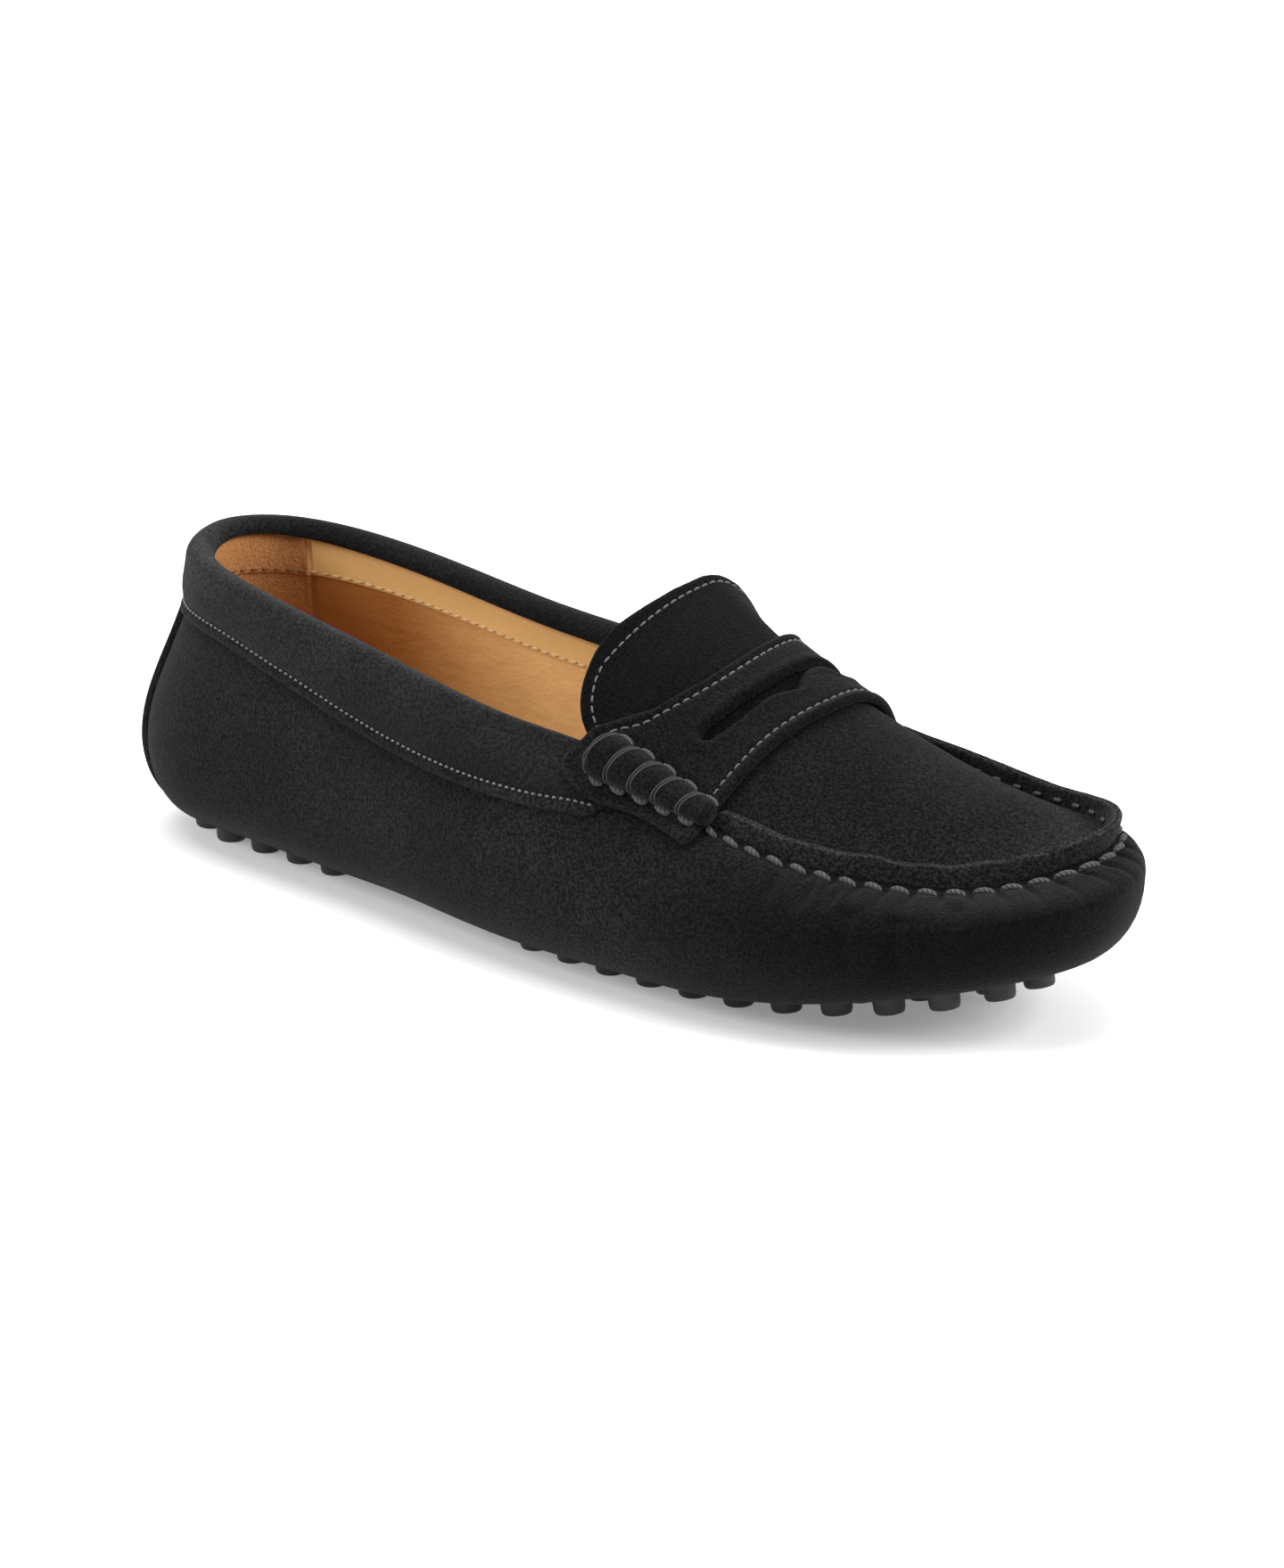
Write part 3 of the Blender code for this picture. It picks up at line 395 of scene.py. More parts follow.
def hump(x, middle, width):
    """A soft bump of height 1."""
    return np.exp(-(((x - middle) / width) ** 2))


def hermite(knots, values, slopes, x):
    """A curve through values with given slopes at its knots."""
    i = np.clip(np.searchsorted(knots, x, side="right") - 1, 0, len(knots) - 2)
    span = (knots[i + 1] - knots[i])[..., None]
    t = np.clip((x - knots[i])[..., None] / span, 0.0, 1.0)
    start = values[i] * (1 + 2 * t) * (1 - t) ** 2 + slopes[i] * span * t * (1 - t) ** 2
    return start + values[i + 1] * t * t * (3 - 2 * t) + slopes[i + 1] * span * t * t * (t - 1)


def open_curve(rows):
    """A smooth curve through rows whose first column is the knot."""
    rows = np.array(rows, float)
    slopes = np.gradient(rows[:, 1:], rows[:, 0], axis=0, edge_order=1)
    return lambda x: hermite(rows[:, 0], rows[:, 1:], slopes, np.asarray(x, float))


def closed_curve(knots, values, period):
    """A closed curve that bends evenly through every knot."""
    count = len(knots)
    span = np.diff(np.append(knots, knots[0] + period))
    matrix = np.zeros((count, count))
    right = np.zeros_like(values)
    for i in range(count):
        before, after, following = span[i - 1], span[i], (i + 1) % count
        matrix[i, i - 1] += 1 / before
        matrix[i, i] += 2 / before + 2 / after
        matrix[i, following] += 1 / after
        step_in, step_out = values[i] - values[i - 1], values[following] - values[i]
        right[i] = 3 * (step_in / before**2 + step_out / after**2)
    slopes = np.linalg.solve(matrix, right)
    knots = np.append(knots, period)
    values = np.vstack([values, values[:1]])
    slopes = np.vstack([slopes, slopes[:1]])
    return lambda x: hermite(knots, values, slopes, np.mod(np.asarray(x, float), period))


def round_over(x):
    """Height of a half circle: 1 at 0, down to 0 at -1 and 1."""
    return np.sqrt(np.clip(1 - np.square(x), 0.0, 1.0))


def run_along(line):
    """Distance along a line of points from its first one."""
    return np.concatenate([[0.0], np.cumsum(np.linalg.norm(np.diff(line, axis=0), axis=1))])


def points_at(at, run, line):
    """Points of a line at distances along it."""
    return np.stack([np.interp(at, run, line[:, k]) for k in range(line.shape[1])], axis=-1)


def turns(sides):
    """Even angles once round."""
    return np.arange(sides) * 2 * math.pi / sides


# %% The last as a surface
last_rows = np.array([place[1:] for place in PLACES], float)
last_steps = np.linalg.norm(np.roll(last_rows[:, :2], -1, axis=0) - last_rows[:, :2], axis=1)
GIRTH = last_steps.sum()
last_knots = np.concatenate([[0.0], np.cumsum(last_steps)[:-1]])
last_at = closed_curve(last_knots, last_rows, GIRTH)
PLACE = {place.name: knot for place, knot in zip(PLACES, last_knots)}

PEBBLE_TALL = 4.6
# Starts and ends are shares of the length, rises are millimetres
SPRING_START, SPRING_RISE = 0.66, 14.0
HEEL_LIFT_END, HEEL_LIFT = 0.085, 2.5
ARCH_START, ARCH_END, ARCH_RISE = 0.28, 0.46, 0.2
PLACE_STEP, LEVEL_STEP = 0.05, 0.01  # over which slopes are taken


def sole_height(x):
    """Height of the underside: flat at heel and ball, with a slight arch, heel lift and toe spring."""
    share = np.asarray(x, float) / LENGTH
    spring = np.clip((share - SPRING_START) / (1 - SPRING_START), 0, None) ** 2
    lift = np.clip((HEEL_LIFT_END - share) / HEEL_LIFT_END, 0, None) ** 2
    arch = np.sin(math.pi * np.clip((share - ARCH_START) / (ARCH_END - ARCH_START), 0, 1)) ** 2
    return PEBBLE_TALL + SPRING_RISE * spring + HEEL_LIFT * lift + ARCH_RISE * arch


def of_last(places, column):
    """One column of the last's table at places round it."""
    return last_at(places)[..., Place._fields.index(column) - 1]


def inward(places):
    """Unit vectors that point in from the widest outline, seen from above."""
    ahead = last_at(places + PLACE_STEP)[..., :2] - last_at(places - PLACE_STEP)[..., :2]
    ahead /= np.linalg.norm(ahead, axis=-1, keepdims=True)
    return np.stack([-ahead[..., 1], ahead[..., 0]], axis=-1)


def set_in(places, inset):
    """Points seen from above, this far in from the widest outline."""
    return last_at(places)[..., :2] + inward(places) * inset[..., None]


def section(places, level):
    """Inset and height of the outside: level -1 is the floor, 0 the widest line, 1 the top edge."""
    x, _, turn, rise, lean, edge, curl, _ = np.moveaxis(last_at(places), -1, 0)
    wide = sole_height(x + inward(places)[..., 0] * turn) + rise
    angle = (1 + np.minimum(level, 0.0)) * math.pi / 2
    v = np.maximum(level, 0.0)
    leaning = lean * ((1 - curl) * v**2 + curl * v**2 * (3 - 2 * v))
    inset = turn * (1 - np.sin(angle)) + leaning
    return inset, wide - rise * np.cos(angle) + (edge - wide) * v


def skin(places, level, depth=0.0):
    """Points of the wall at a level, set in by a depth, or out if it is negative."""
    places, level = np.broadcast_arrays(np.asarray(places, float), np.asarray(level, float))
    low, high = np.maximum(level - LEVEL_STEP, -1.0), np.minimum(level + LEVEL_STEP, 1.0)
    inset, height = section(places, level)
    inset_low, height_low = section(places, low)
    inset_high, height_high = section(places, high)
    across, up = inset_high - inset_low, height_high - height_low
    size = np.hypot(across, up)
    inset = inset + depth * up / size
    height = height - depth * across / size
    return np.concatenate([set_in(places, inset), height[..., None]], axis=-1)


def skin_out(places, level, depth):
    """The same points, and the way out from each."""
    seat = skin(places, level, depth)
    return seat, skin(places, level, depth - 1.0) - seat


def wall_tall(places):
    """Height of the wall from its widest line to the top edge."""
    return section(places, 1.0)[1] - section(places, 0.0)[1]


def wall_slant(places):
    """Length of the wall from its widest line to the top edge, along its lean."""
    return np.hypot(wall_tall(places), of_last(places, "lean"))


print("girth of the last:", round(GIRTH), "mm")

# %% [markdown]
# ## Turning points into pieces
# Every sheet of the shoe is a grid of points, so one helper turns a grid into faces and another makes the
# object. A modifier stack could thicken a plain sheet. A grid with its own thickness gives more
# control: each edge is rounded by the distance to it, and seams can sink in.

# %% Helpers for pieces
made_pieces = []


def shoe_piece(name, points, faces, finishes, face_finish=None, uv=None, node=None):
    """One object from points in millimetres, which rides on the shoe and stands for a CAD node."""
    mesh = bpy.data.meshes.new(name)
    mesh.from_pydata((np.asarray(points) - FOOTPRINT_MIDDLE) * MM, [], np.asarray(faces).tolist())
    for finish in finishes:
        mesh.materials.append(finish)
    if face_finish is not None:
        mesh.polygons.foreach_set("material_index", np.asarray(face_finish, np.int32))
    if uv is not None:
        corner_vertex = np.empty(len(mesh.loops), np.int32)
        mesh.loops.foreach_get("vertex_index", corner_vertex)
        layer = mesh.uv_layers.new(name="strand")
        layer.data.foreach_set("uv", np.asarray(uv, np.float32)[corner_vertex].ravel())
    mesh.update()
    mesh.shade_smooth()
    piece = bpy.data.objects.new(name, mesh)
    scene.collection.objects.link(piece)
    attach(piece, "root")
    if node:
        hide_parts(node)
    made_pieces.append(piece)
    print(f"{name}: {len(mesh.polygons)} faces")
    return piece


def grid_faces(rows, columns, wrap=False, start=0, flip=False):
    """Faces of a grid whose points are numbered row by row."""
    i, j = np.meshgrid(np.arange(rows - 1), np.arange(columns if wrap else columns - 1), indexing="ij")
    following = (j + 1) % columns
    quads = np.stack([i * columns + j, i * columns + following,
                      (i + 1) * columns + following, (i + 1) * columns + j], axis=-1).reshape(-1, 4)
    return start + (quads[:, ::-1] if flip else quads)


def grid_normals(grid, wrap=False):
    """Normals of a grid from its neighbours, row direction crossed with column direction."""
    along_rows = np.gradient(grid, axis=0)
    if wrap:
        along_columns = np.roll(grid, -1, axis=1) - np.roll(grid, 1, axis=1)
    else:
        along_columns = np.gradient(grid, axis=1)
    normals = np.cross(along_columns, along_rows)
    return normals / np.maximum(np.linalg.norm(normals, axis=-1, keepdims=True), 1e-9)


def distance_to(grid, line):
    """Distance from each point of a grid to the nearest point of a line."""
    flat = grid.reshape(-1, 3)
    nearest = [np.linalg.norm(line - p, axis=1).min() for p in flat]
    return np.array(nearest).reshape(grid.shape[:-1])


def rounded_sheet(middle, normals, from_edge, thick):
    """Both faces of a sheet whose edge is a half circle; from_edge is the distance to it."""
    half = thick / 2
    share = 1 - np.clip(from_edge / np.max(half), 0.0, 1.0)
    half = (half * round_over(share))[..., None]
    rows, columns = middle.shape[:2]
    points = np.concatenate([middle + normals * half, middle - normals * half]).reshape(-1, 3)
    faces = np.vstack([grid_faces(rows, columns), grid_faces(rows, columns, start=rows * columns, flip=True)])
    return points, faces


# A soft trough or ridge beside an edge: how far it stands out, where its middle lies, its half width
Fold = namedtuple("Fold", "out at width")


def raised(fold, distance):
    """How far a fold stands out at a distance from the edge."""
    return fold.out * hump(distance, fold.at, fold.width)


# %% [markdown]
# ## Upper
# One piece of suede wraps the foot from below. In front its edge stands up round the apron as a lip, where
# hand stitches pull it in. The wall is a grid round the last, and the lip is a short profile swept along
# its top, with a table for its height and lean. Seam, stitch holes and creases are soft troughs: each is a
# hump along the distance from the seam or from a listed line.

# %% Places along the seam
LIP_START, LIP_FULL, INNER_LIP_BACK = 175.5, 181.0, 3.0
TOE = PLACE["toe"]
STITCH_PITCH = 5.2
STITCH_FIRST, STITCH_LAST = 178.6, 178.0  # stations of the first outer and the last inner stitch


def place_at(x, side):
    """The place on one side whose top edge is at a station along the foot."""
    names = (side + "_waist", side + "_toe_corner")
    fine = np.linspace(PLACE[names[0]], PLACE[names[1]], 900)
    edge_x = skin(fine, 1.0)[:, 0]
    order = np.argsort(edge_x)
    return np.interp(x, edge_x[order], fine[order])


def lip_share(places):
    """0 behind the strap, 1 where the lip stands up."""
    x = skin(places, 1.0)[..., 0] + np.where(places > TOE, INNER_LIP_BACK, 0.0)
    return smooth_step(LIP_START, LIP_FULL, x)


seam_fine = np.linspace(place_at(STITCH_FIRST, "outer"), place_at(STITCH_LAST, "inner"), 3000)
seam_line = skin(seam_fine, 1.0)
seam_run = run_along(seam_line)
stitch_count = int(seam_run[-1] / STITCH_PITCH)
stitch_runs = np.arange(stitch_count) * STITCH_PITCH
stitch_places = np.interp(stitch_runs, seam_run, seam_fine)
hole_places = np.interp(stitch_runs + STITCH_PITCH / 2, seam_run, seam_fine)
print("hand stitches round the apron:", stitch_count)

# %% Shape of the upper's wall
SOLE_BORDER = 4.4
Crease = namedtuple("Crease", "x side top foot width depth")
CREASES = (
    Crease(203.0, "outer", 1.5, 9.0, 1.2, 1.00),
    Crease(207.8, "outer", 1.5, 8.0, 1.0, 0.85),
    Crease(211.5, "outer", 5.0, 19.0, 2.2, 1.00),
    Crease(219.0, "outer", 6.0, 21.0, 2.6, 0.95),
    Crease(226.5, "outer", 2.5, 14.0, 1.9, 0.70),
    Crease(196.0, "outer", 2.0, 10.0, 1.5, 0.60),
    Crease(188.0, "outer", 3.0, 14.0, 2.6, 0.45),
    Crease(206.0, "inner", 3.0, 12.0, 2.0, 0.70),
    Crease(218.0, "inner", 5.0, 16.0, 2.6, 0.70),
)
CREASE_STARTS, CREASE_ENDS = 2.5, 4.0  # over which a crease deepens and dies away
SEAM_GROOVE, SEAM_PUFF = Fold(-0.55, 0.4, 1.0), Fold(0.30, 5.0, 3.2)
HOLE_WIDE, HOLE_PIT = 0.85, Fold(-0.4, 0.9, 1.3)
PUCKER_DEEP, PUCKER_FADE = 0.85, 4.0
PUCKER_START, PUCKER_FULL = 186.0, 215.0  # stations between which the puckers grow
WAVE_TALL, WAVE_LONG, WAVE_DOWN, WAVE_ACROSS = 0.13, 13.0, 9.0, 21.0  # slow waves of the suede
RIPPLE_SHARE, RIPPLE_LONG, RIPPLE_DOWN = 0.6, 7.3, 6.0  # and closer ones over them
TUCK_LEVEL, TUCK_WIDE = -0.72, 0.32
TUCK_HEEL, TUCK_FRONT = 0.9, 0.5  # how much the suede is drawn in towards the sole
TUCK_HEEL_START, TUCK_HEEL_FULL = 110.0, 60.0  # stations between which the heel's tuck takes over
BALL_FULL, BALL_AT, BALL_LONG = 1.0, 180.0, 44.0  # the suede swells over the ball instead


def below_edge(places, level):
    """Distance down the wall from its top edge."""
    return (1 - level) * wall_slant(places)


def wall_relief(places, level):
    """How far the suede stands out: seam groove, puff below it, puckers, creases and slow waves."""
    down = below_edge(places, level)
    front = lip_share(places)
    relief = front * (raised(SEAM_PUFF, down) + raised(SEAM_GROOVE, down))
    near_hole = np.zeros_like(places)
    for hole in hole_places:
        near_hole = np.maximum(near_hole, hump(places, hole, HOLE_WIDE))
    relief += front * near_hole * raised(HOLE_PIT, down)
    x, y = of_last(places, "x"), of_last(places, "y")
    pucker = smooth_step(0.5, 2.0, down) * np.exp(-down / PUCKER_FADE)
    relief -= PUCKER_DEEP * smooth_step(PUCKER_START, PUCKER_FULL, x) * near_hole * pucker
    for crease in CREASES:
        along = smooth_step(crease.top, crease.top + CREASE_STARTS, down)
        along = along * smooth_step(crease.foot, crease.foot - CREASE_ENDS, down)
        relief -= crease.depth * hump(places, place_at(crease.x, crease.side), crease.width) * along
    waves = np.sin(x / WAVE_LONG + 0.5) * np.sin(down / WAVE_DOWN + y / WAVE_ACROSS)
    waves += RIPPLE_SHARE * np.sin(x / RIPPLE_LONG + down / RIPPLE_DOWN)
    tuck = TUCK_FRONT + (TUCK_HEEL - TUCK_FRONT) * smooth_step(TUCK_HEEL_START, TUCK_HEEL_FULL, x)
    tuck -= BALL_FULL * hump(x, BALL_AT, BALL_LONG)
    relief += WAVE_TALL * waves * smooth_step(0.0, 8.0, down)
    return relief - tuck * hump(level, TUCK_LEVEL, TUCK_WIDE)


# %% Upper
# The lip's profile: distance in from the seam and height above it, over two cut edges side by side
LIP = (
    (0.00, 0.4), (-0.04, 1.0), (-0.02, 1.7), (0.05, 2.4), (0.12, 2.95), (0.24, 3.25), (0.44, 3.42),
    (0.68, 3.46), (0.90, 3.36), (1.05, 3.12), (1.12, 2.85), (1.20, 3.12), (1.36, 3.36), (1.58, 3.48),
    (1.84, 3.42), (2.04, 3.15), (2.16, 2.7), (2.20, 2.0), (2.24, 1.1), (2.32, 0.2), (2.45, -0.9),
)
LIP_CREST = 3.46  # height of the profile, which the table below stretches
# Millimetres round the seam from the toe, outer side first, then the lip's height and how far it leans in
LipRow = namedtuple("LipRow", "past_toe tall lean")
LIP_ROWS = (
    LipRow(-110, 3.5, 0.30), LipRow(-75, 3.8, 0.30), LipRow(-55, 4.2, 0.30), LipRow(-35, 4.4, 0.28),
    LipRow(-18, 4.3, 0.24), LipRow(-5, 4.4, 0.12), LipRow(8, 4.6, -0.12), LipRow(20, 4.6, -0.32),
    LipRow(30, 4.6, -0.25), LipRow(40, 4.3, -0.12), LipRow(48, 4.4, -0.05), LipRow(55, 5.1, 0.0),
    LipRow(63, 5.8, 0.0), LipRow(73, 6.3, 0.0), LipRow(92, 6.0, 0.05), LipRow(120, 5.6, 0.10),
)
lip_table = open_curve(LIP_ROWS)
CUT_EDGE_ROWS = (5, 15)  # rows of the profile that show the cut edge
HAND_CUT_FROM = 2.5  # height in the profile above which the edge is uneven
HAND_CUT_START, HAND_CUT_FULL = 25.0, -5.0  # past the toe
# The uneven edge as two waves: share of the height, millimetres in a radian, offset
UNEVEN = ((0.05, 5.1, 0.0), (0.04, 2.3, 1.0))
REAR_COLUMNS, FRONT_COLUMNS = 84, 430
SEAM_SMOOTHING = 16

rear_outer, rear_inner = PLACE["outer_throat"], PLACE["inner_throat"]
upper_places = np.concatenate([
    np.linspace(0.0, rear_outer, REAR_COLUMNS, endpoint=False),
    np.linspace(rear_outer, rear_inner, FRONT_COLUMNS, endpoint=False),
    np.linspace(rear_inner, GIRTH, REAR_COLUMNS, endpoint=False),
])
upper_levels = np.concatenate([
    np.linspace(-1.0, 0.0, 11), np.linspace(0.0, 0.8, 22)[1:], np.linspace(0.8, 1.0, 14)[1:],
])
p, v = np.meshgrid(upper_places, upper_levels)
wall = skin(p, v)
wall += grid_normals(wall, wrap=True) * wall_relief(p, v)[..., None]
margin = set_in(upper_places, of_last(upper_places, "tread") - SOLE_BORDER)
margin = np.column_stack([margin, sole_height(margin[:, 0])])

seam_top = wall[-1].copy()
for _ in range(SEAM_SMOOTHING):
    seam_top = (np.roll(seam_top, 1, axis=0) + 2 * seam_top + np.roll(seam_top, -1, axis=0)) / 4
past_toe = np.clip(upper_places - TOE, LIP_ROWS[0].past_toe, LIP_ROWS[-1].past_toe)
lip_tall, lip_lean = lip_table(past_toe).T
stand = lip_share(upper_places) * lip_tall / LIP_CREST
uneven = sum(tall * np.sin(upper_places / long + offset) for tall, long, offset in UNEVEN)
hand_cut = 1 + uneven * smooth_step(TOE + HAND_CUT_START, TOE + HAND_CUT_FULL, upper_places)
lip_rows = []
for inset, rise in LIP:
    row = seam_top.copy()
    leant = inset + lip_lean * max(rise, 0.0) * stand
    row[:, :2] += inward(upper_places) * leant[:, None]
    row[:, 2] += rise * stand * (hand_cut if rise > HAND_CUT_FROM else 1.0)
    lip_rows.append(row)
upper_grid = np.concatenate([margin[None], wall, np.array(lip_rows)])
rows, columns = upper_grid.shape[:2]
upper_faces = grid_faces(rows, columns, wrap=True)
first_lip = 1 + len(upper_levels)
row_of_face = np.repeat(np.arange(rows - 1), columns)
on_cut = (row_of_face >= first_lip + CUT_EDGE_ROWS[0]) & (row_of_face < first_lip + CUT_EDGE_ROWS[1])
# painted light: the lip's faces, apart from the cut edge, get the lighter suede
upper_area = np.where(on_cut, 1, np.where(row_of_face >= first_lip, 2, 0))
upper_area[np.tile(stand <= 0.5, rows - 1)] = 0
shoe_piece(
    "upper_wall", upper_grid.reshape(-1, 3), upper_faces, (upper_suede, cut_suede, lip_painted_light_suede), upper_area,
    node="upper",
)

# %% [markdown]
# ## Lining
# Inside, smooth tan leather covers the wall. A facing strip runs under the collar, sewn down along its lower
# edge, and a grip of rough leather sits in the heel. All three could be separate sheets, but one grid
# with a step at each seam and a finish for each area has no gaps.

# %% Lining
FACING_DEEP, FACING_THICK = 8.8, 0.5
GRIP_END, GRIP_THICK = 17.6, 0.55  # station of the grip's front seams
GRIP_EDGE, GRIP_SEAM = Fold(0.25, GRIP_END - 0.6, 0.5), Fold(-0.2, GRIP_END + 0.7, 0.4)
LINING_FOOT = -0.88  # level of its lower edge, beside the insole
LOWER_ROWS = 25
LEAST_TALL = 20.0  # the wall is lower than the facing at the toe, where nothing is seen of it
STEP_PAST, STEP_BEFORE = 0.35, 0.15  # either side of a sheet's edge, between which it runs out
GATHER_TALL, GATHER_START, GATHER_FULL = 0.22, 90.0, 130.0  # the lining gathers towards the toe


def step_at(thick, edge, distance):
    """A sheet of this thickness that ends at an edge."""
    return thick * smooth_step(edge + STEP_PAST, edge - STEP_BEFORE, distance)


lining_places = np.linspace(0.0, GIRTH, 640, endpoint=False)
for part in (lining_places[lining_places < TOE], lining_places[lining_places > TOE]):
    seam_place = part[np.argmin(np.abs(of_last(part, "x") - GRIP_END))]
    lining_places = np.union1d(lining_places, seam_place + np.linspace(-2.5, 2.5, 21))
deep = np.concatenate([
    np.linspace(0.0, FACING_DEEP - 0.25, 10), np.linspace(FACING_DEEP - 0.1, FACING_DEEP + 0.6, 6),
])
lining_tall = np.maximum(wall_tall(lining_places), LEAST_TALL)
facing_levels = 1 - deep[:, None] / lining_tall[None, :]
lower_share = np.linspace(0.0, 1.0, LOWER_ROWS + 1)[1:, None]
lower_levels = facing_levels[-1] * (1 - lower_share) + LINING_FOOT * lower_share
lining_levels = np.vstack([facing_levels, lower_levels])
lining_p = np.broadcast_to(lining_places, lining_levels.shape)
lining_down = (1 - lining_levels) * lining_tall[None, :]
lining_x = of_last(lining_p, "x")
step_up = step_at(FACING_THICK, FACING_DEEP, lining_down) + step_at(GRIP_THICK, GRIP_END, lining_x)
step_up += raised(GRIP_EDGE, lining_x) + raised(GRIP_SEAM, lining_x)
wrinkles = GATHER_TALL * np.sin(lining_x / 0.8 + lining_down / 3.0 + np.sin(lining_x / 5.0))
wrinkles *= 0.5 + 0.5 * np.sin(lining_down / 2.6 + lining_x / 11.0)
wrinkles *= smooth_step(GATHER_START, GATHER_FULL, lining_x)
lining_grid = skin(lining_p, lining_levels, WALL + step_up + wrinkles)
rows, columns = lining_grid.shape[:2]
lining_faces = grid_faces(rows, columns, wrap=True, flip=True)
face_down = np.repeat(np.append(deep, np.full(LOWER_ROWS, np.inf))[: rows - 1], columns)
face_x = np.tile(of_last(lining_places, "x"), rows - 1)
lining_area = np.where(face_x < GRIP_END, 2, np.where(face_down < FACING_DEEP, 1, 0))
shoe_piece(
    "lining", lining_grid.reshape(-1, 3), lining_faces, (lining_leather, facing_leather, grip_suede),
    lining_area,
)

# %% [markdown]
# ## Sole, pebbles and insole
# The sole is a thin rubber plate, and the shoe stands on short rubber pebbles in two groups. Each pebble is
# one profile turned round, wider at its root and rounded below, and all of them are one joined mesh. The
# insole is a padded leather sock that lies on the plate.

# %% Sole plate
SOLE_THICK, INSOLE_THICK = 2.6, 2.4
FOOTBED_ROWS, FOOTBED_COLUMNS = 160, 40
UP = np.array([0.0, 0.0, 1.0])


def halves(steps):
    """Places on the outer side, heel to toe, and on the inner side."""
    return np.linspace(0.0, TOE, steps + 1), np.linspace(GIRTH, TOE, steps + 1)


def footbed(inset):
    """A grid over the underside, in from the widest outline, and the points of its edge."""
    lines = [set_in(places, inset(places)) for places in halves(FOOTBED_ROWS)]
    share = np.linspace(0.0, 1.0, FOOTBED_COLUMNS + 1)[None, :, None]
    plan = lines[0][:, None] * (1 - share) + lines[1][:, None] * share
    grid = np.dstack([plan, sole_height(plan[..., 0])])
    return grid, np.vstack([grid[:, 0], grid[:, -1]])


def flat_sheet(grid, edge, raise_by, thick):
    """A rounded sheet that lies this far above a grid."""
    middle = grid + UP * (raise_by + thick / 2)
    return rounded_sheet(middle, np.broadcast_to(UP, grid.shape), distance_to(grid, edge), thick)


def sole_inset(places):
    """How far in the plate's edge lies, just inside the upper's margin."""
    return of_last(places, "tread") - SOLE_BORDER + GAP


plate_points, plate_faces = flat_sheet(*footbed(sole_inset), 0.0, SOLE_THICK)

# %% Pebbles
PEBBLE_RADIUS, PEBBLE_PITCH, PEBBLE_CLEAR = 3.4, 10.9, 2.6
HEEL_GROUP_END, FOREFOOT_GROUP_START = 70.0, 115.0
PEBBLE_SIDES = 24
# Radius and depth as shares, from the root inside the plate to the middle of the foot
PEBBLE_PROFILE = (
    (1.12, -0.2), (1.10, 0.0), (1.02, 0.12), (0.97, 0.3), (0.94, 0.6), (0.92, 0.8),
    (0.88, 0.91), (0.80, 0.975), (0.68, 1.0), (0.35, 1.0), (0.001, 1.0),
)


def pebble_places():
    """Centres of the pebbles: a row that follows the edge, then even rows across between."""
    outer, inner = [set_in(places, of_last(places, "tread")) for places in halves(200)]
    loop = np.vstack([outer, inner[::-1]])
    run = run_along(loop)
    spots = np.linspace(0.0, run[-1], int(round(run[-1] / PEBBLE_PITCH)), endpoint=False)
    centres = [tuple(centre) for centre in points_at(spots, run, loop)]
    for x in np.arange(outer[0, 0] + PEBBLE_PITCH, outer[-1, 0], PEBBLE_PITCH):
        low, high = np.interp(x, outer[:, 0], outer[:, 1]), np.interp(x, inner[:, 0], inner[:, 1])
        steps = int(round((high - low) / PEBBLE_PITCH))
        centres += [(x, low + (high - low) * k / steps) for k in range(1, steps)]
    kept = []
    for x, y in centres:
        in_group = x < HEEL_GROUP_END or x > FOREFOOT_GROUP_START
        if in_group and all(math.hypot(x - a, y - b) > PEBBLE_CLEAR * PEBBLE_RADIUS for a, b in kept):
            kept.append((x, y))
    return kept


pebble_turn = turns(PEBBLE_SIDES)
sole_points, sole_faces = [plate_points], [plate_faces]
for x, y in pebble_places():
    tilt = math.atan(float(sole_height(x + 0.5) - sole_height(x - 0.5)))
    forward = np.array([math.cos(tilt), 0.0, math.sin(tilt)])
    down = np.array([math.sin(tilt), 0.0, -math.cos(tilt)])
    ring = np.cos(pebble_turn)[:, None] * forward + np.sin(pebble_turn)[:, None] * [0.0, 1.0, 0.0]
    root = np.array([x, y, float(sole_height(x))])
    start = sum(len(points) for points in sole_points)
    rings = [
        root + down * depth * PEBBLE_TALL + ring * share * PEBBLE_RADIUS for share, depth in PEBBLE_PROFILE
    ]
    sole_points.append(np.concatenate(rings))
    sole_faces.append(grid_faces(len(rings), PEBBLE_SIDES, wrap=True, start=start, flip=True))
shoe_piece(
    "pebbled_sole", np.concatenate(sole_points), np.vstack(sole_faces), (sole_rubber,),
    node="sole",
)
print("pebbles:", len(sole_points) - 1)

# %% Insole
INSOLE_CLEAR = 0.3


def clear_of_wall(places):
    """How far in the insole's edge lies at the height where it rests."""
    turn, rise = of_last(places, "turn"), of_last(places, "rise")
    angle = np.arccos((rise - SOLE_THICK - GAP) / (rise - WALL))
    return turn - (turn - WALL) * np.sin(angle) + INSOLE_CLEAR


sock_points, sock_faces = flat_sheet(*footbed(clear_of_wall), SOLE_THICK + GAP, INSOLE_THICK)
insole = shoe_piece(
    "insole_sock", sock_points, sock_faces, (insole_leather,), node="insole"
)

# %% [markdown]
# ## Apron and tongue
# The apron is the plug that closes the top of the forefoot. It runs back under the strap and ends in the
# tongue, with a stitched edge. It is a grid of cross strips between the two seams, crowned over a ridge that
# leans to the inner side of the foot. Only the tongue's edge is free, so only that edge is rounded.

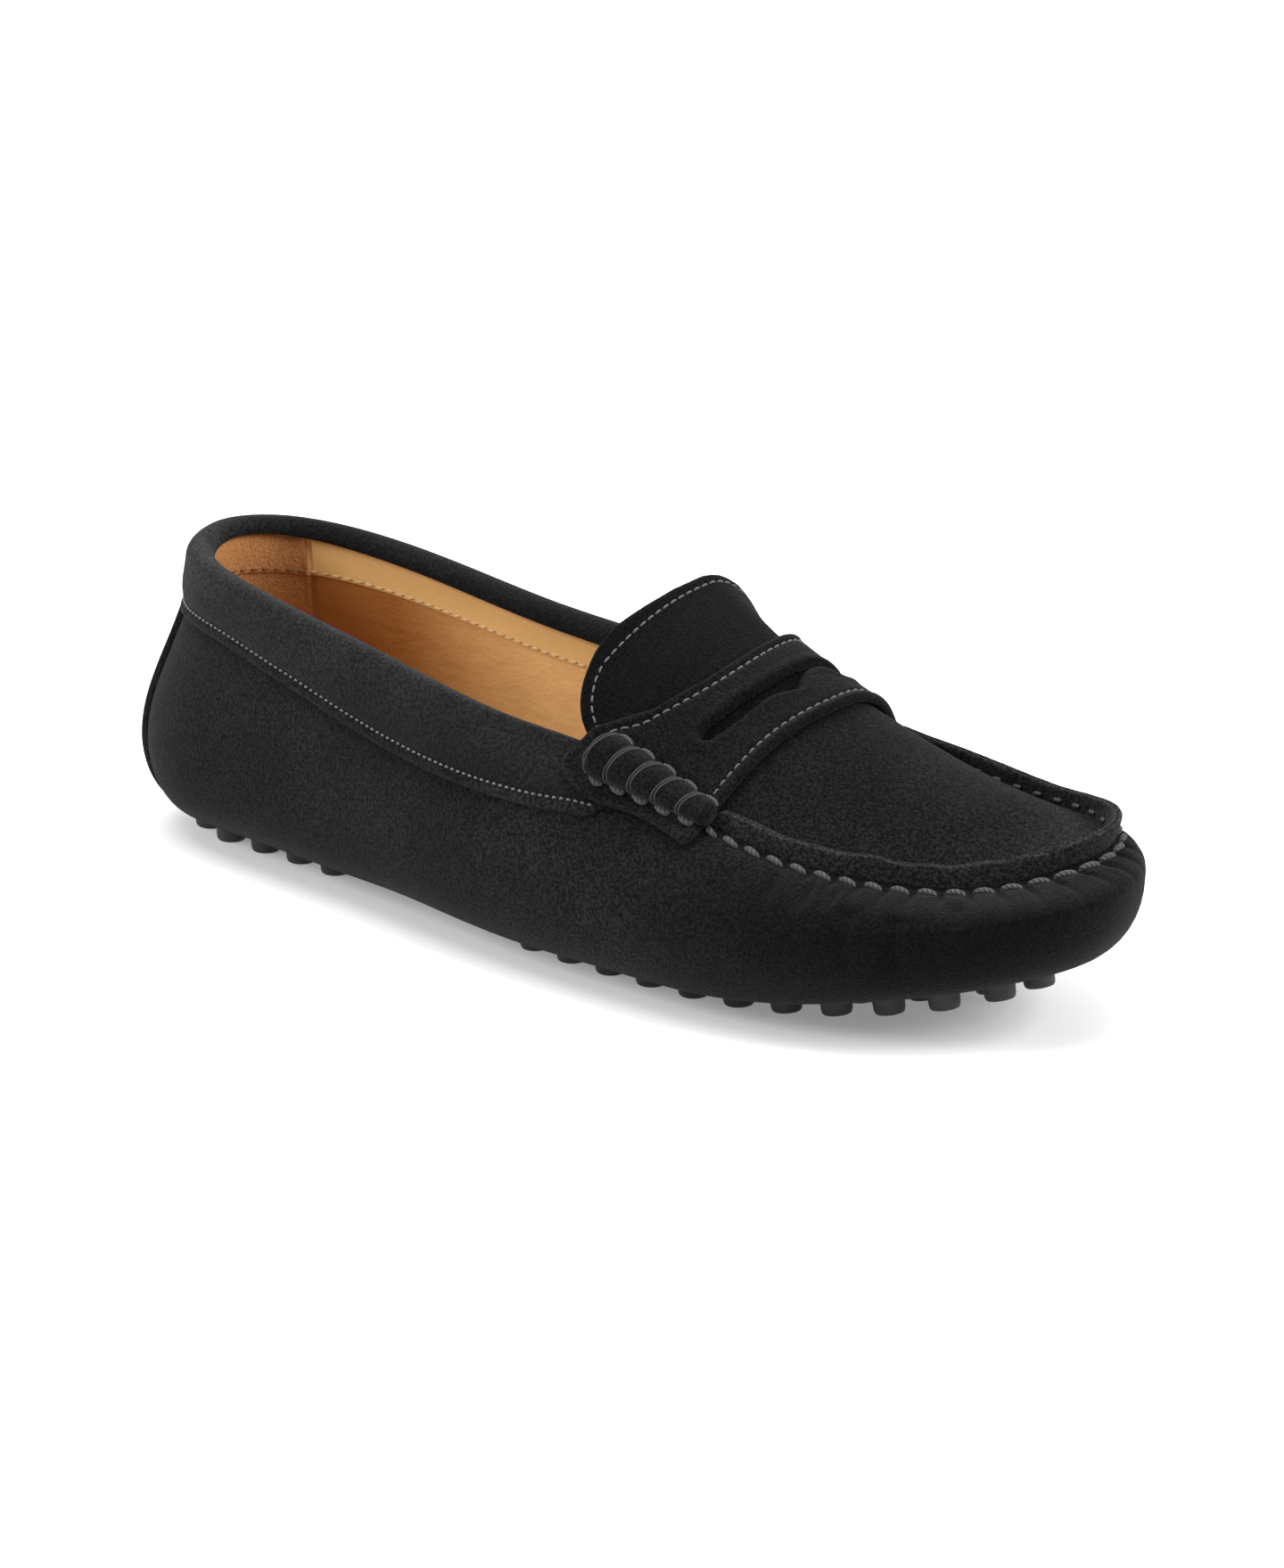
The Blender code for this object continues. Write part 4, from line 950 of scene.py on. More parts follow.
# %% Surface of the apron
LIP_WALL, APRON_GAP, APRON_LIFT, APRON_THICK = 1.6, 0.6, 0.2, 1.6
CROWN_POWER = 2.1
TONGUE_TIP, TONGUE_BASE = 137.5, 156.0
Ridge = namedtuple("Ridge", "x y z")
RIDGE = (
    Ridge(TONGUE_TIP, 12.0, 73.2), Ridge(148.0, 11.5, 68.8), Ridge(160.0, 9.5, 63.6), Ridge(172.0, 8.0, 59.0),
    Ridge(184.0, 7.0, 54.8), Ridge(200.0, 6.0, 49.2), Ridge(216.0, 6.0, 43.4), Ridge(230.0, 6.0, 38.2),
)
TongueRow = namedtuple("TongueRow", "x outer_y inner_y outer_z inner_z")
TONGUE = (
    TongueRow(TONGUE_TIP, -12.0, 21.0, 68.0, 70.6), TongueRow(137.8, -16.4, 23.6, 65.8, 68.8),
    TongueRow(138.3, -20.0, 25.4, 63.2, 66.6), TongueRow(139.2, -23.4, 26.8, 60.2, 64.0),
    TongueRow(140.5, -26.1, 27.6, 57.0, 61.2), TongueRow(142.5, -28.2, 27.7, 54.0, 58.0),
    TongueRow(145.0, -29.4, 27.4, 51.4, 54.6), TongueRow(151.0, -30.2, 26.0, 47.6, 48.6),
)
ridge_at, tongue_at = open_curve(RIDGE), open_curve(TONGUE)
apron_loop_places = np.linspace(PLACE["outer_throat"], PLACE["inner_throat"], 1200)
lean, seam_z = section(apron_loop_places, 1.0)
loop_plan = set_in(apron_loop_places, lean + LIP_WALL + APRON_GAP)
apron_loop = np.column_stack([loop_plan, seam_z + APRON_LIFT])
loop_tip = apron_loop[:, 0].argmax()
APRON_FRONT = apron_loop[loop_tip, 0]
apron_sides = (apron_loop[: loop_tip + 1], apron_loop[loop_tip:][::-1])


def apron_edges(x):
    """The two edges at a station, outer and inner."""
    share = smooth_step(TONGUE[-1].x, TONGUE_BASE, x)[..., None]
    free = tongue_at(np.minimum(x, TONGUE[-1].x))
    sides = []
    for side, line in enumerate(apron_sides):
        sewn = points_at(x, line[:, 0], line[:, 1:])
        sides.append(sewn * share + free[..., [side, side + 2]] * (1 - share))
    return sides


def apron_surface(x, across):
    """Points on the upper face: across is -1 at the outer edge and 1 at the inner one."""
    x, across = np.broadcast_arrays(np.asarray(x, float), np.asarray(across, float))
    outer, inner = apron_edges(x)
    line = outer * ((1 - across) / 2)[..., None] + inner * ((1 + across) / 2)[..., None]
    middle, half = (outer + inner) / 2, (inner - outer) / 2
    ridge_y, ridge_z = np.moveaxis(ridge_at(np.clip(x, TONGUE_TIP, RIDGE[-1].x)), -1, 0)
    peak = np.clip((ridge_y - middle[..., 0]) / np.maximum(half[..., 0], 1.0), -0.5, 0.5)
    beside = (across - peak) / np.where(across < peak, 1 + peak, 1 - peak)
    fade = np.where(x > RIDGE[-2].x, 1 - smooth_step(RIDGE[-2].x, APRON_FRONT, x), 1.0)
    crown = np.maximum(ridge_z - middle[..., 1] - half[..., 1] * peak, 0.0) * fade
    height = line[..., 1] + crown * (1 - np.abs(beside) ** CROWN_POWER)
    return np.stack([x, line[..., 0], height], axis=-1)


# %% Outline of the slot, through which the apron shows
SlotRow = namedtuple("SlotRow", "y rear front")
SLOT = (
    SlotRow(-19.3, 166.5, 167.1), SlotRow(-18.9, 165.9, 167.9), SlotRow(-17.8, 165.5, 168.8),
    SlotRow(-16.0, 165.8, 169.6), SlotRow(-13.5, 166.4, 170.4), SlotRow(-9.0, 167.3, 171.2),
    SlotRow(-4.0, 168.2, 171.8), SlotRow(-1.0, 168.4, 173.2), SlotRow(1.2, 168.4, 173.8),
    SlotRow(3.0, 168.4, 172.6), SlotRow(5.0, 168.3, 171.2), SlotRow(8.3, 168.3, 170.6),
)
SLOT_FAR = 0.72  # the inner half is shorter seen from above
SLOT_EDGE = 0.4  # either side of the outline, where the strap's edge turns down


def slot_outline():
    """The slot seen from above, as a closed line of close points."""
    outer = np.array(SLOT)
    inner = outer[-2::-1].copy()
    inner[:, 0] = SLOT[-1].y + (SLOT[-1].y - inner[:, 0]) * SLOT_FAR
    table = np.vstack([outer, inner])
    y = np.linspace(table[0, 0], table[-1, 0], 300)
    rear, front = open_curve(table)(y).T
    return np.vstack([np.column_stack([rear, y]), np.column_stack([front, y])[::-1]])


def signed_distance(plan, outline):
    """Distance from points to an outline seen from above, negative inside it."""
    nearest = np.array([np.linalg.norm(outline - p, axis=1).min() for p in plan])
    ahead = np.roll(outline, -1, axis=0)
    x, y = plan[:, :1], plan[:, 1:]
    crosses = (outline[:, 1] > y) != (ahead[:, 1] > y)
    slope = (ahead[:, 0] - outline[:, 0]) / (ahead[:, 1] - outline[:, 1] + 1e-12)
    hits = crosses & (x < outline[:, 0] + (y - outline[:, 1]) * slope)
    return np.where(hits.sum(axis=1) % 2 == 1, -nearest, nearest)


# %% Apron and tongue
TONGUE_STITCH_IN = 2.3
TONGUE_GROOVE, TONGUE_RIM = Fold(-0.28, TONGUE_STITCH_IN, 0.5), Fold(0.18, 1.4, 1.0)
TIP_CLEAR = 7.0  # the even rows stop this far from the tip
APRON_HALF = 30.0  # about half its width, which turns the steps into shares
LINED_TO = 0.86  # share of the underside that is leather
edge_steps = np.array([0.0, 0.06, 0.18, 0.36, 0.6, 0.9, 1.3, 1.9, 2.6, 3.4, 4.4, 5.6])
toe_to_tip = 1 - np.cos(np.linspace(0.0, math.pi / 2, 120))  # close rows at the toe
from_toe = APRON_FRONT - (APRON_FRONT - TONGUE_TIP - TIP_CLEAR) * toe_to_tip
apron_x = np.concatenate([from_toe, TONGUE_TIP + edge_steps[::-1]])
edge_share = edge_steps / APRON_HALF
apron_w = np.concatenate([-1 + edge_share, np.linspace(-0.78, 0.78, 70), 1 - edge_share[::-1]])
gx, gw = np.meshgrid(apron_x, apron_w, indexing="ij")
apron_top = apron_surface(gx, gw)
apron_normals = -grid_normals(apron_top)
apron_normals *= np.sign(apron_normals[..., 2:3] + 1e-9)
free_rows = apron_x < TONGUE_BASE
free_edge = np.vstack([apron_top[free_rows, 0], apron_top[-1], apron_top[free_rows, -1][::-1]])
from_free = distance_to(apron_top, free_edge)
tongue_relief = raised(TONGUE_GROOVE, from_free) + raised(TONGUE_RIM, from_free)
apron_middle = apron_top - apron_normals * (APRON_THICK / 2 - tongue_relief)[..., None]
apron_points, apron_faces = rounded_sheet(apron_middle, apron_normals, from_free, APRON_THICK)
lined = ((np.abs(gw) < LINED_TO) & (gx > TONGUE_TIP + TONGUE_STITCH_IN))[:-1, :-1].ravel()
# painted shadow: the apron's faces under the slot get the near-black suede
painted_shadow_under_slot = signed_distance(apron_top[:-1, :-1, :2].reshape(-1, 2), slot_outline()) < SLOT_EDGE
apron_area = np.concatenate([np.where(painted_shadow_under_slot, 2, 0), np.where(lined, 1, 0)])
shoe_piece(
    "apron_and_tongue", apron_points, apron_faces, (apron_suede, lining_leather, slot_shadow_suede), apron_area,
    node="apron_tongue",
)

# %% [markdown]
# ## Saddle strap
# The strap lies over the apron and both seams, with a flap on each side and a moustache-shaped slot. Its
# edges are folded, so they are thick and round with a stitch row behind them. The strap is a grid over
# apron and wall. The slot is cut by distance: points near its outline sink to make a soft wall, and
# the faces inside are left out, so the apron shows through.

# %% Surface under the strap
FLAP_DEPTH = 23.0  # of wall height that one unit of across covers


def seam_places(x, side):
    """Places on the seam at stations; side is -1 for outer and 1 for inner."""
    return place_at(x, "outer" if side < 0 else "inner")


def saddle(x, across):
    """Points on apron, seam and sides; across -1 and 1 are the seams."""
    x, across = np.broadcast_arrays(np.asarray(x, float), np.asarray(across, float))
    points = apron_surface(x, np.clip(across, -1.0, 1.0))
    for side in (-1, 1):
        on_wall = across * side >= 1.0
        places = seam_places(x[on_wall], side)
        down = (np.abs(across[on_wall]) - 1.0) * FLAP_DEPTH * flap_share(x[on_wall])[..., 0]
        points[on_wall] = skin(places, 1.0 - down / wall_tall(places))
    return points


StrapRow = namedtuple("StrapRow", "across rear front")
STRAP = (
    StrapRow(-1.27, 153.0, 176.0), StrapRow(-1.255, 149.6, 176.5), StrapRow(-1.22, 146.8, 177.0),
    StrapRow(-1.17, 144.9, 177.4), StrapRow(-1.11, 143.9, 177.7), StrapRow(-1.06, 143.9, 177.8),
    StrapRow(-1.0, 145.3, 177.8), StrapRow(-0.6, 155.4, 179.2), StrapRow(0.2, 160.2, 182.0),
    StrapRow(0.6, 157.8, 181.0), StrapRow(1.0, 148.4, 177.2), StrapRow(1.10, 146.8, 176.6),
    StrapRow(1.20, 147.6, 176.2), StrapRow(1.255, 150.4, 175.4), StrapRow(1.27, 154.0, 174.4),
)
# The flap is deepest behind the roll and drawn up in the middle
FlapRow = namedtuple("FlapRow", "x share")
FLAP = (FlapRow(140.0, 0.9), FlapRow(150.0, 1.0), FlapRow(156.0, 0.95), FlapRow(163.0, 0.76),
        FlapRow(170.0, 0.68), FlapRow(177.0, 0.72), FlapRow(183.0, 0.72))
flap_share = open_curve(FLAP)
strap_edges = open_curve(STRAP)

# %% Saddle strap
STRAP_THICK, STRAP_STITCH_IN = 1.9, 2.4
STRAP_FOLD, STRAP_GROOVE = Fold(0.30, 1.1, 0.9), Fold(-0.34, STRAP_STITCH_IN, 0.55)
SLOT_FOLD = Fold(0.22, 1.1, 0.8)
STRAP_SMOOTHING = 12  # it bends softly over the seam
BAND_UNDER_FLAP = 1.0  # how much the collar band lifts the flap's rear end
OVER_BAND_START, OVER_BAND_FULL = 158.0, 150.0  # stations between which it is lifted
FLAP_START, FLAP_FULL = 0.9, 1.05  # and how far out, where the seam is at 1
SLOT_TOP, SLOT_FOOT = 0.30, -0.42  # distances from the slot's outline where its wall starts and ends
rim_steps = np.array([0.0, 0.012, 0.035, 0.07])
strap_c = np.concatenate([rim_steps * 0.25, np.linspace(0.03, 0.97, 84), 1 - rim_steps[::-1] * 0.25])
flap = np.concatenate([np.linspace(1.0, 1.25, 26), STRAP[-1].across - rim_steps[::-1] * 0.3])
strap_w = np.concatenate([-flap[::-1], np.linspace(-0.97, 0.97, 240), flap])
edges = strap_edges(strap_w)
strap_x = edges[:, :1] * (1 - strap_c) + edges[:, 1:] * strap_c
strap_base = saddle(strap_x, np.broadcast_to(strap_w[:, None], strap_x.shape))
for _ in range(STRAP_SMOOTHING):
    strap_base[1:-1] = (strap_base[:-2] + 2 * strap_base[1:-1] + strap_base[2:]) / 4
strap_normals = grid_normals(strap_base)
strap_normals *= np.sign(strap_normals[..., 2:3])
strap_rim = np.vstack([strap_base[:, 0], strap_base[-1], strap_base[::-1, -1], strap_base[0, ::-1]])
from_rim = distance_to(strap_base, strap_rim)
from_slot = signed_distance(strap_base[..., :2].reshape(-1, 2), slot_outline()).reshape(from_rim.shape)
strap_relief = raised(STRAP_FOLD, from_rim) + raised(STRAP_GROOVE, from_rim) + raised(SLOT_FOLD, from_slot)
over_band = BAND_UNDER_FLAP * smooth_step(OVER_BAND_START, OVER_BAND_FULL, strap_x)
over_band *= smooth_step(FLAP_START, FLAP_FULL, -strap_w)[:, None]
lift = GAP + STRAP_THICK / 2 + over_band
sunk = smooth_step(SLOT_TOP, SLOT_FOOT, from_slot)
strap_middle = strap_base + strap_normals * lift[..., None]
strap_points, strap_faces = rounded_sheet(strap_middle, strap_normals, from_rim, STRAP_THICK)
count = from_rim.size
top_shift = strap_relief - STRAP_THICK * sunk
strap_points[:count] += strap_normals.reshape(-1, 3) * top_shift.reshape(-1, 1)
inside = np.tile(from_slot.ravel(), 2) < -SLOT_EDGE
strap_faces = strap_faces[~inside[strap_faces].all(axis=1)]
shoe_piece(
    "saddle_strap_folded", strap_points, strap_faces, (strap_suede,), node="saddle_strap"
)

# %% [markdown]
# ## Collar band
# A padded band wraps the topline: deep outside, rolled over the edge, shallow inside. A real one is a strip
# sewn on over thin foam, so its face swells between the stitch row and the roll. It is swept round the
# topline as one profile whose depth changes along the way, and it runs in under the strap's flap.

# %% Collar band
BandRow = namedtuple("BandRow", "x deep")
BAND = (
    BandRow(-10.0, 12.0), BandRow(12.0, 11.6), BandRow(38.0, 10.6), BandRow(60.0, 11.8), BandRow(85.0, 13.5),
    BandRow(128.0, 12.0), BandRow(140.0, 11.0), BandRow(150.0, 9.4), BandRow(158.0, 8.2),
)
BAND_SWELL, BAND_INSIDE, BAND_STITCH_UP = 1.45, 0.4, 2.15
BAND_END_OUTER, BAND_END_INNER = 158.0, 148.0
BAND_CORNER = 7.0  # radius of its front corners
BAND_FLAT = 0.75  # how far it stands out where it runs in under the flap
BAND_FLAT_FROM, BAND_FLAT_TO = 13.0, 4.0  # from its ends
BAND_CLEAR, BAND_INNER_FACE = 0.1, 0.9  # off the suede outside, and off the wall inside
band_deep = open_curve(BAND)
# The outer face from its cut edge up, each with how far it stands out: first the sewn margin, by its height,
# then the padded face, by its share of the depth
BAND_MARGIN = (
    (0.0, 0.10), (-0.08, 0.55), (0.0, 1.00), (0.18, 1.25), (0.55, 1.36), (1.20, 1.32), (1.75, 1.10),
    (2.15, 0.78), (2.50, 0.95), (2.95, 1.30), (3.40, 1.60),
)
MARGIN_ROWS = 6  # rows that show the pressed margin below the stitches
BAND_FACE = ((0.600, 2.02), (0.450, 2.25), (0.300, 2.26), (0.150, 2.12), (0.000, 1.95))
# Inside the topline: share of the depth, share of the swell, and how far it turns to the lining
BAND_INNER_ROWS = ((0.3, 1.0, 0.0), (0.7, 1.0, 0.0), (0.92, 0.55, 0.0), (1.0, 0.0, 0.4))
ROLL_POINTS = 15


def band_profile(places):
    """Rows of points round the topline, from the cut edge outside to the edge inside."""
    x = of_last(places, "x")
    ends = np.where(places > GIRTH / 2, BAND_END_INNER, BAND_END_OUTER)
    tuck = smooth_step(ends - BAND_FLAT_TO, ends - BAND_FLAT_FROM, x)
    tall, deep = wall_tall(places), band_deep(x)[:, 0]
    corner = round_over(np.clip((x - ends + BAND_CORNER) / BAND_CORNER, 0.0, 1.0))
    rows = []
    downs = [(np.maximum(deep * corner - up, 0.0), out) for up, out in BAND_MARGIN]
    downs += [(deep * corner * share, out) for share, out in BAND_FACE]
    for down, out in downs:
        flat = np.minimum(out, BAND_FLAT)
        rows.append(skin(places, 1 - down / tall, -(flat + (out - flat) * tuck) - BAND_CLEAR))
    outside = rows[-1]
    inside = skin(places, 1.0, WALL + BAND_INNER_FACE + BAND_SWELL * tuck)
    middle, half = (outside + inside) / 2, (outside - inside) / 2
    radius = np.linalg.norm(half, axis=1)
    for angle in np.linspace(0.0, math.pi, ROLL_POINTS)[1:-1]:
        row = middle + half * math.cos(angle)
        row[:, 2] += radius * math.sin(angle)
        rows.append(row)
    rows.append(inside)
    for share, swell, turn_in in BAND_INNER_ROWS:
        depth = WALL + BAND_INNER_FACE + BAND_SWELL * tuck * swell - turn_in
        rows.append(skin(places, 1 - BAND_INSIDE * share / tall, depth))
    return np.array(rows)


def places_of_widest(x, side):
    """The place on one side whose widest line is at a station along the foot."""
    fine = np.linspace(PLACE[side + "_waist"], PLACE[side + "_toe_side"], 600)
    at = of_last(fine, "x")
    order = np.argsort(at)
    return float(np.interp(x, at[order], fine[order]))


band_start = places_of_widest(BAND_END_INNER, "inner") - GIRTH
band_end = places_of_widest(BAND_END_OUTER, "outer")
band_places = np.linspace(band_end, band_start, 420)
band_grid = band_profile(np.mod(band_places, GIRTH))
rows, columns = band_grid.shape[:2]
# painted light: the margin below the collar's stitches gets the lighter suede
margin_painted_light = np.repeat(np.arange(rows - 1) < MARGIN_ROWS, columns - 1)
band = shoe_piece(
    "padded_collar", band_grid.reshape(-1, 3), grid_faces(rows, columns, flip=True),
    (collar_suede, lip_painted_light_suede), margin_painted_light, node="collar_band",
)

# %% [markdown]
# ## Heel tab
# A patch of suede covers the back seam, from under the heel up to the collar. It is a plain rounded sheet on
# the wall, a little proud of it, with its rim sewn down.

# %% Heel tab
TAB_HALF_TOP, TAB_HALF_FOOT, TAB_FOOT, TAB_THICK = 21.5, 18.5, -0.78, 1.4
TAB_UP, TAB_RIM_UP = 0.7, 0.2  # middle of the sheet above the wall; the rim is sewn down
TAB_BELOW_BAND = 0.3
tab_top = float(1 - (band_deep(0.0)[0] + TAB_BELOW_BAND) / wall_tall(np.array(0.0)))
tab_share = np.concatenate([rim_steps, np.linspace(0.1, 0.9, 40), 1 - rim_steps[::-1]])
tab_levels = TAB_FOOT + (tab_top - TAB_FOOT) * tab_share
tab_half = TAB_HALF_FOOT + (TAB_HALF_TOP - TAB_HALF_FOOT) * tab_share
tab_places = tab_half[:, None] * (2 * tab_share[None, :] - 1)
tab_v = np.broadcast_to(tab_levels[:, None], tab_places.shape)
tab_places = np.mod(tab_places, GIRTH)
tab_relief = wall_relief(tab_places, tab_v)
tab_base, tab_normals = skin_out(tab_places, tab_v, -tab_relief)
tab_rim = np.vstack([tab_base[:, 0], tab_base[-1], tab_base[:, -1], tab_base[0]])
tab_from_rim = distance_to(tab_base, tab_rim)
tab_over = round_over(1 - np.clip(2 * tab_from_rim / TAB_THICK, 0.0, 1.0))
tab_up = TAB_RIM_UP + (TAB_UP - TAB_RIM_UP) * tab_over
tab_middle = tab_base + tab_normals * tab_up[..., None]
tab_points, tab_faces = rounded_sheet(tab_middle, tab_normals, tab_from_rim, TAB_THICK)
shoe_piece("heel_patch", tab_points, tab_faces, (tab_suede,), node="heel_tab")

# %% [markdown]
# ## Rolls
# On each side the strap's end is bound to the seam by a roll of suede, with thread wrapped round it five
# times. The wraps pull waists into it, so it looks like a row of beads that get smaller to the front.
# A tube along the seam with a changing radius gives that shape.

# %% Rolls
Roll = namedtuple("Roll", "side rear front rear_radius front_radius down")
ROLLS = (Roll(-1, 153.0, 179.8, 5.2, 2.6, -0.5), Roll(1, 149.5, 170.5, 3.6, 2.4, 3.0))
ROLL_WRAPS, ROLL_WAIST, ROLL_SWELL = 5, 0.88, 0.4
ROLL_SIDES, ROLL_RINGS = 36, 111
ROLL_END = 0.035  # share of its length over which each end rounds off
ROLL_SEAM = 0.3  # how far below the edge of the wall its seat is taken
ROLL_SUNK = 0.55  # the roll is pressed into the strap
ROLL_FLAT = 0.86  # and is lower than wide
OVERLAY = 1.6


def roll_frame(roll, stations):
    """Seat, outward, sideways and radius of a roll at stations along it."""
    places = seam_places(stations, roll.side)
    level = 1.0 - max(roll.down, ROLL_SEAM) / wall_tall(places)
    seat, out = skin_out(places, level, -GAP - OVERLAY)
    ahead = np.gradient(seat, axis=0)
    ahead /= np.linalg.norm(ahead, axis=1)[:, None]
    beside = np.cross(ahead, out)
    share = (stations - roll.rear) / (roll.front - roll.rear)
    full = roll.rear_radius + (roll.front_radius - roll.rear_radius) * share
    over_edge = ROLL_SEAM - min(roll.down, ROLL_SEAM)
    centre = seat + out * (ROLL_SUNK * full)[:, None] + beside * roll.side * over_edge
    return centre, out, beside, full, share


def roll_radius(full, share):
    """Radius along a roll: waists under the wraps, and rounded ends."""
    swell = np.abs(np.sin(share * ROLL_WRAPS * math.pi)) ** ROLL_SWELL
    radius = full * (ROLL_WAIST + (1 - ROLL_WAIST) * swell)
    ends = np.clip(np.minimum(share, 1 - share) / ROLL_END, 0.0, 1.0)
    return radius * round_over(1 - ends)


for roll, name in zip(ROLLS, ("roll_outer", "roll_inner")):
    stations = np.linspace(roll.rear, roll.front, ROLL_RINGS)
    centre, out, beside, full, share = roll_frame(roll, stations)
    radius = roll_radius(full, share)
    turn = turns(ROLL_SIDES)[None, :, None]
    ring = ROLL_FLAT * np.cos(turn) * out[:, None] + np.sin(turn) * beside[:, None]
    points = centre[:, None] + ring * radius[:, None, None]
    faces = grid_faces(ROLL_RINGS, ROLL_SIDES, wrap=True)
    shoe_piece(
        "wrapped_" + name, points.reshape(-1, 3), faces, (roll_suede,), node=name
    )

# %% [markdown]
# ## Thread
# Stitches are what make the shoe look sewn. Each one is a short tube whose ends dive into the leather, so one
# helper lays a row of them along any line. Hand stitches are thick and few, machine stitches are
# thin and many. Every row is one joined mesh.

# %% Strands
def strand(path, radius, sides=8):
    """A tube along points; its radius may change. Returns points, faces and strand coordinates."""
    path = np.asarray(path, float)
    ahead = np.gradient(path, axis=0)
    ahead /= np.linalg.norm(ahead, axis=1)[:, None]
    guide = UP if abs(ahead[len(path) // 2, 2]) < 0.8 else np.array([1.0, 0.0, 0.0])
    side = np.cross(ahead, guide)
    side /= np.linalg.norm(side, axis=1)[:, None]
    up = np.cross(side, ahead)
    turn = turns(sides)
    ring = np.cos(turn)[None, :, None] * side[:, None] + np.sin(turn)[None, :, None] * up[:, None]
    points = path[:, None] + ring * np.broadcast_to(radius, len(path))[:, None, None]
    thick = float(np.max(radius))
    along = run_along(path)[:, None] / thick
    uv = np.stack(np.broadcast_arrays(along, turn[None, :] / math.pi * 2), axis=-1)
    return points.reshape(-1, 3), grid_faces(len(path), sides, wrap=True), uv.reshape(-1, 2)


def sew(name, strands, finish):
    """One piece from many strands."""
    points, faces, uv, start = [], [], [], 0
    for strand_points, strand_faces, strand_uv in strands:
        points.append(strand_points)
        faces.append(strand_faces + start)
        uv.append(strand_uv)
        start += len(strand_points)
    shoe_piece(name, np.concatenate(points), np.vstack(faces), (finish,), uv=np.concatenate(uv))


def tapered(radius, end, arch):
    """Radius along a stitch, from a share of it at both ends to all of it in the middle."""
    return radius * (end + (1 - end) * arch)


Sewing = namedtuple("Sewing", "pitch length radius proud")
STITCH_SIDES, STITCH_END = 7, 0.55


def stitches(line, normals, row):
    """A row of stitches along a line; each one rises out of the leather and dives back."""
    run = run_along(line)
    share = np.linspace(-0.5, 0.5, 9)
    arch = round_over(2 * share)
    lift = (row.proud + row.radius) * arch - row.radius
    made = []
    for middle in np.arange(row.pitch / 2, run[-1] - row.pitch / 4, row.pitch):
        at = middle + share * row.length
        path = points_at(at, run, line) + points_at(at, run, normals) * lift[:, None]
        made.append(strand(path, tapered(row.radius, STITCH_END, arch), STITCH_SIDES))
    return made


# %% Hand stitches round the apron
HAND_RADIUS, HAND_LENGTH, HAND_DOWN, HAND_SLANT = 0.66, 3.4, 0.75, 0.5
HAND_SIDES, HAND_END = 10, 0.5
HAND_RISE, HAND_SUNK = 0.75, 0.35  # each stitch arches up this much, from this far below the suede
# The stitches show again as dots inside the far lip
DOT_IN, DOT_LENGTH, DOT_RADIUS, DOT_END = 2.7, 2.2, 0.42, 0.4
DOTS_FROM = -12.0  # past the toe
DOT_UP = ((20, 1.1), (46, 1.6), (54, 2.1), (70, 3.0), (90, 3.2))  # past the toe, height above the seam

hand = []
share = np.linspace(-0.5, 0.5, 13)
arch = round_over(2 * share)
for run in stitch_runs:
    at = np.interp(run + share * HAND_LENGTH, seam_run, seam_fine)
    level = 1.0 - (HAND_DOWN + HAND_SLANT * share) / wall_slant(at)
    seat, out = skin_out(at, level, -wall_relief(at, level))
    path = seat + out * (HAND_RISE * arch - HAND_SUNK)[:, None]
    hand.append(strand(path, tapered(HAND_RADIUS, HAND_END, arch), HAND_SIDES))
for spot in stitch_places[stitch_places > TOE + DOTS_FROM]:
    at = spot + share * DOT_LENGTH
    lean, edge = section(at, 1.0)
    dot_up = np.interp(spot - TOE, *zip(*DOT_UP))
    dot_in = lean + DOT_IN + lip_table(spot - TOE)[1] * dot_up
    path = np.column_stack([set_in(at, dot_in), edge + dot_up])
    hand.append(strand(path, tapered(DOT_RADIUS, DOT_END, arch)))
sew("hand_stitches", hand, hand_thread)

# %% Thread wrapped round the rolls
WRAP_RADIUS, WRAP_APART, WRAP_SLANT = 0.20, 0.30, 1.2
LOWER_RADIUS, UPPER_RADIUS, BASE_LENGTH, BASE_END = 0.74, 0.50, 3.4, 0.4
LOWER_SIDE, UPPER_SIDE = math.radians(113.0), math.radians(-84.0)
WRAP_HALF = math.radians(112.0)  # how far a wrap goes round to each side
WRAP_START = 0.06  # share of a lobe before its wrap
THREAD_SIDES = 9


def on_roll(roll, stations, angles, proud):
    """Points on a roll's surface; the angle goes round from the side that faces out, down to the floor."""
    fine = np.linspace(roll.rear, roll.front, 200)
    centre, out, beside, full, along = roll_frame(roll, fine)
    radius = np.maximum(roll_radius(full, along), full * ROLL_WAIST)
    size = np.interp(stations, fine, radius) + proud
    outward = ROLL_FLAT * np.cos(angles) * size + (1 - ROLL_FLAT) * proud * np.cos(angles)
    points = points_at(stations, fine, centre) + points_at(stations, fine, out) * outward[:, None]
    return points + points_at(stations, fine, beside) * (np.sin(angles) * size)[:, None]


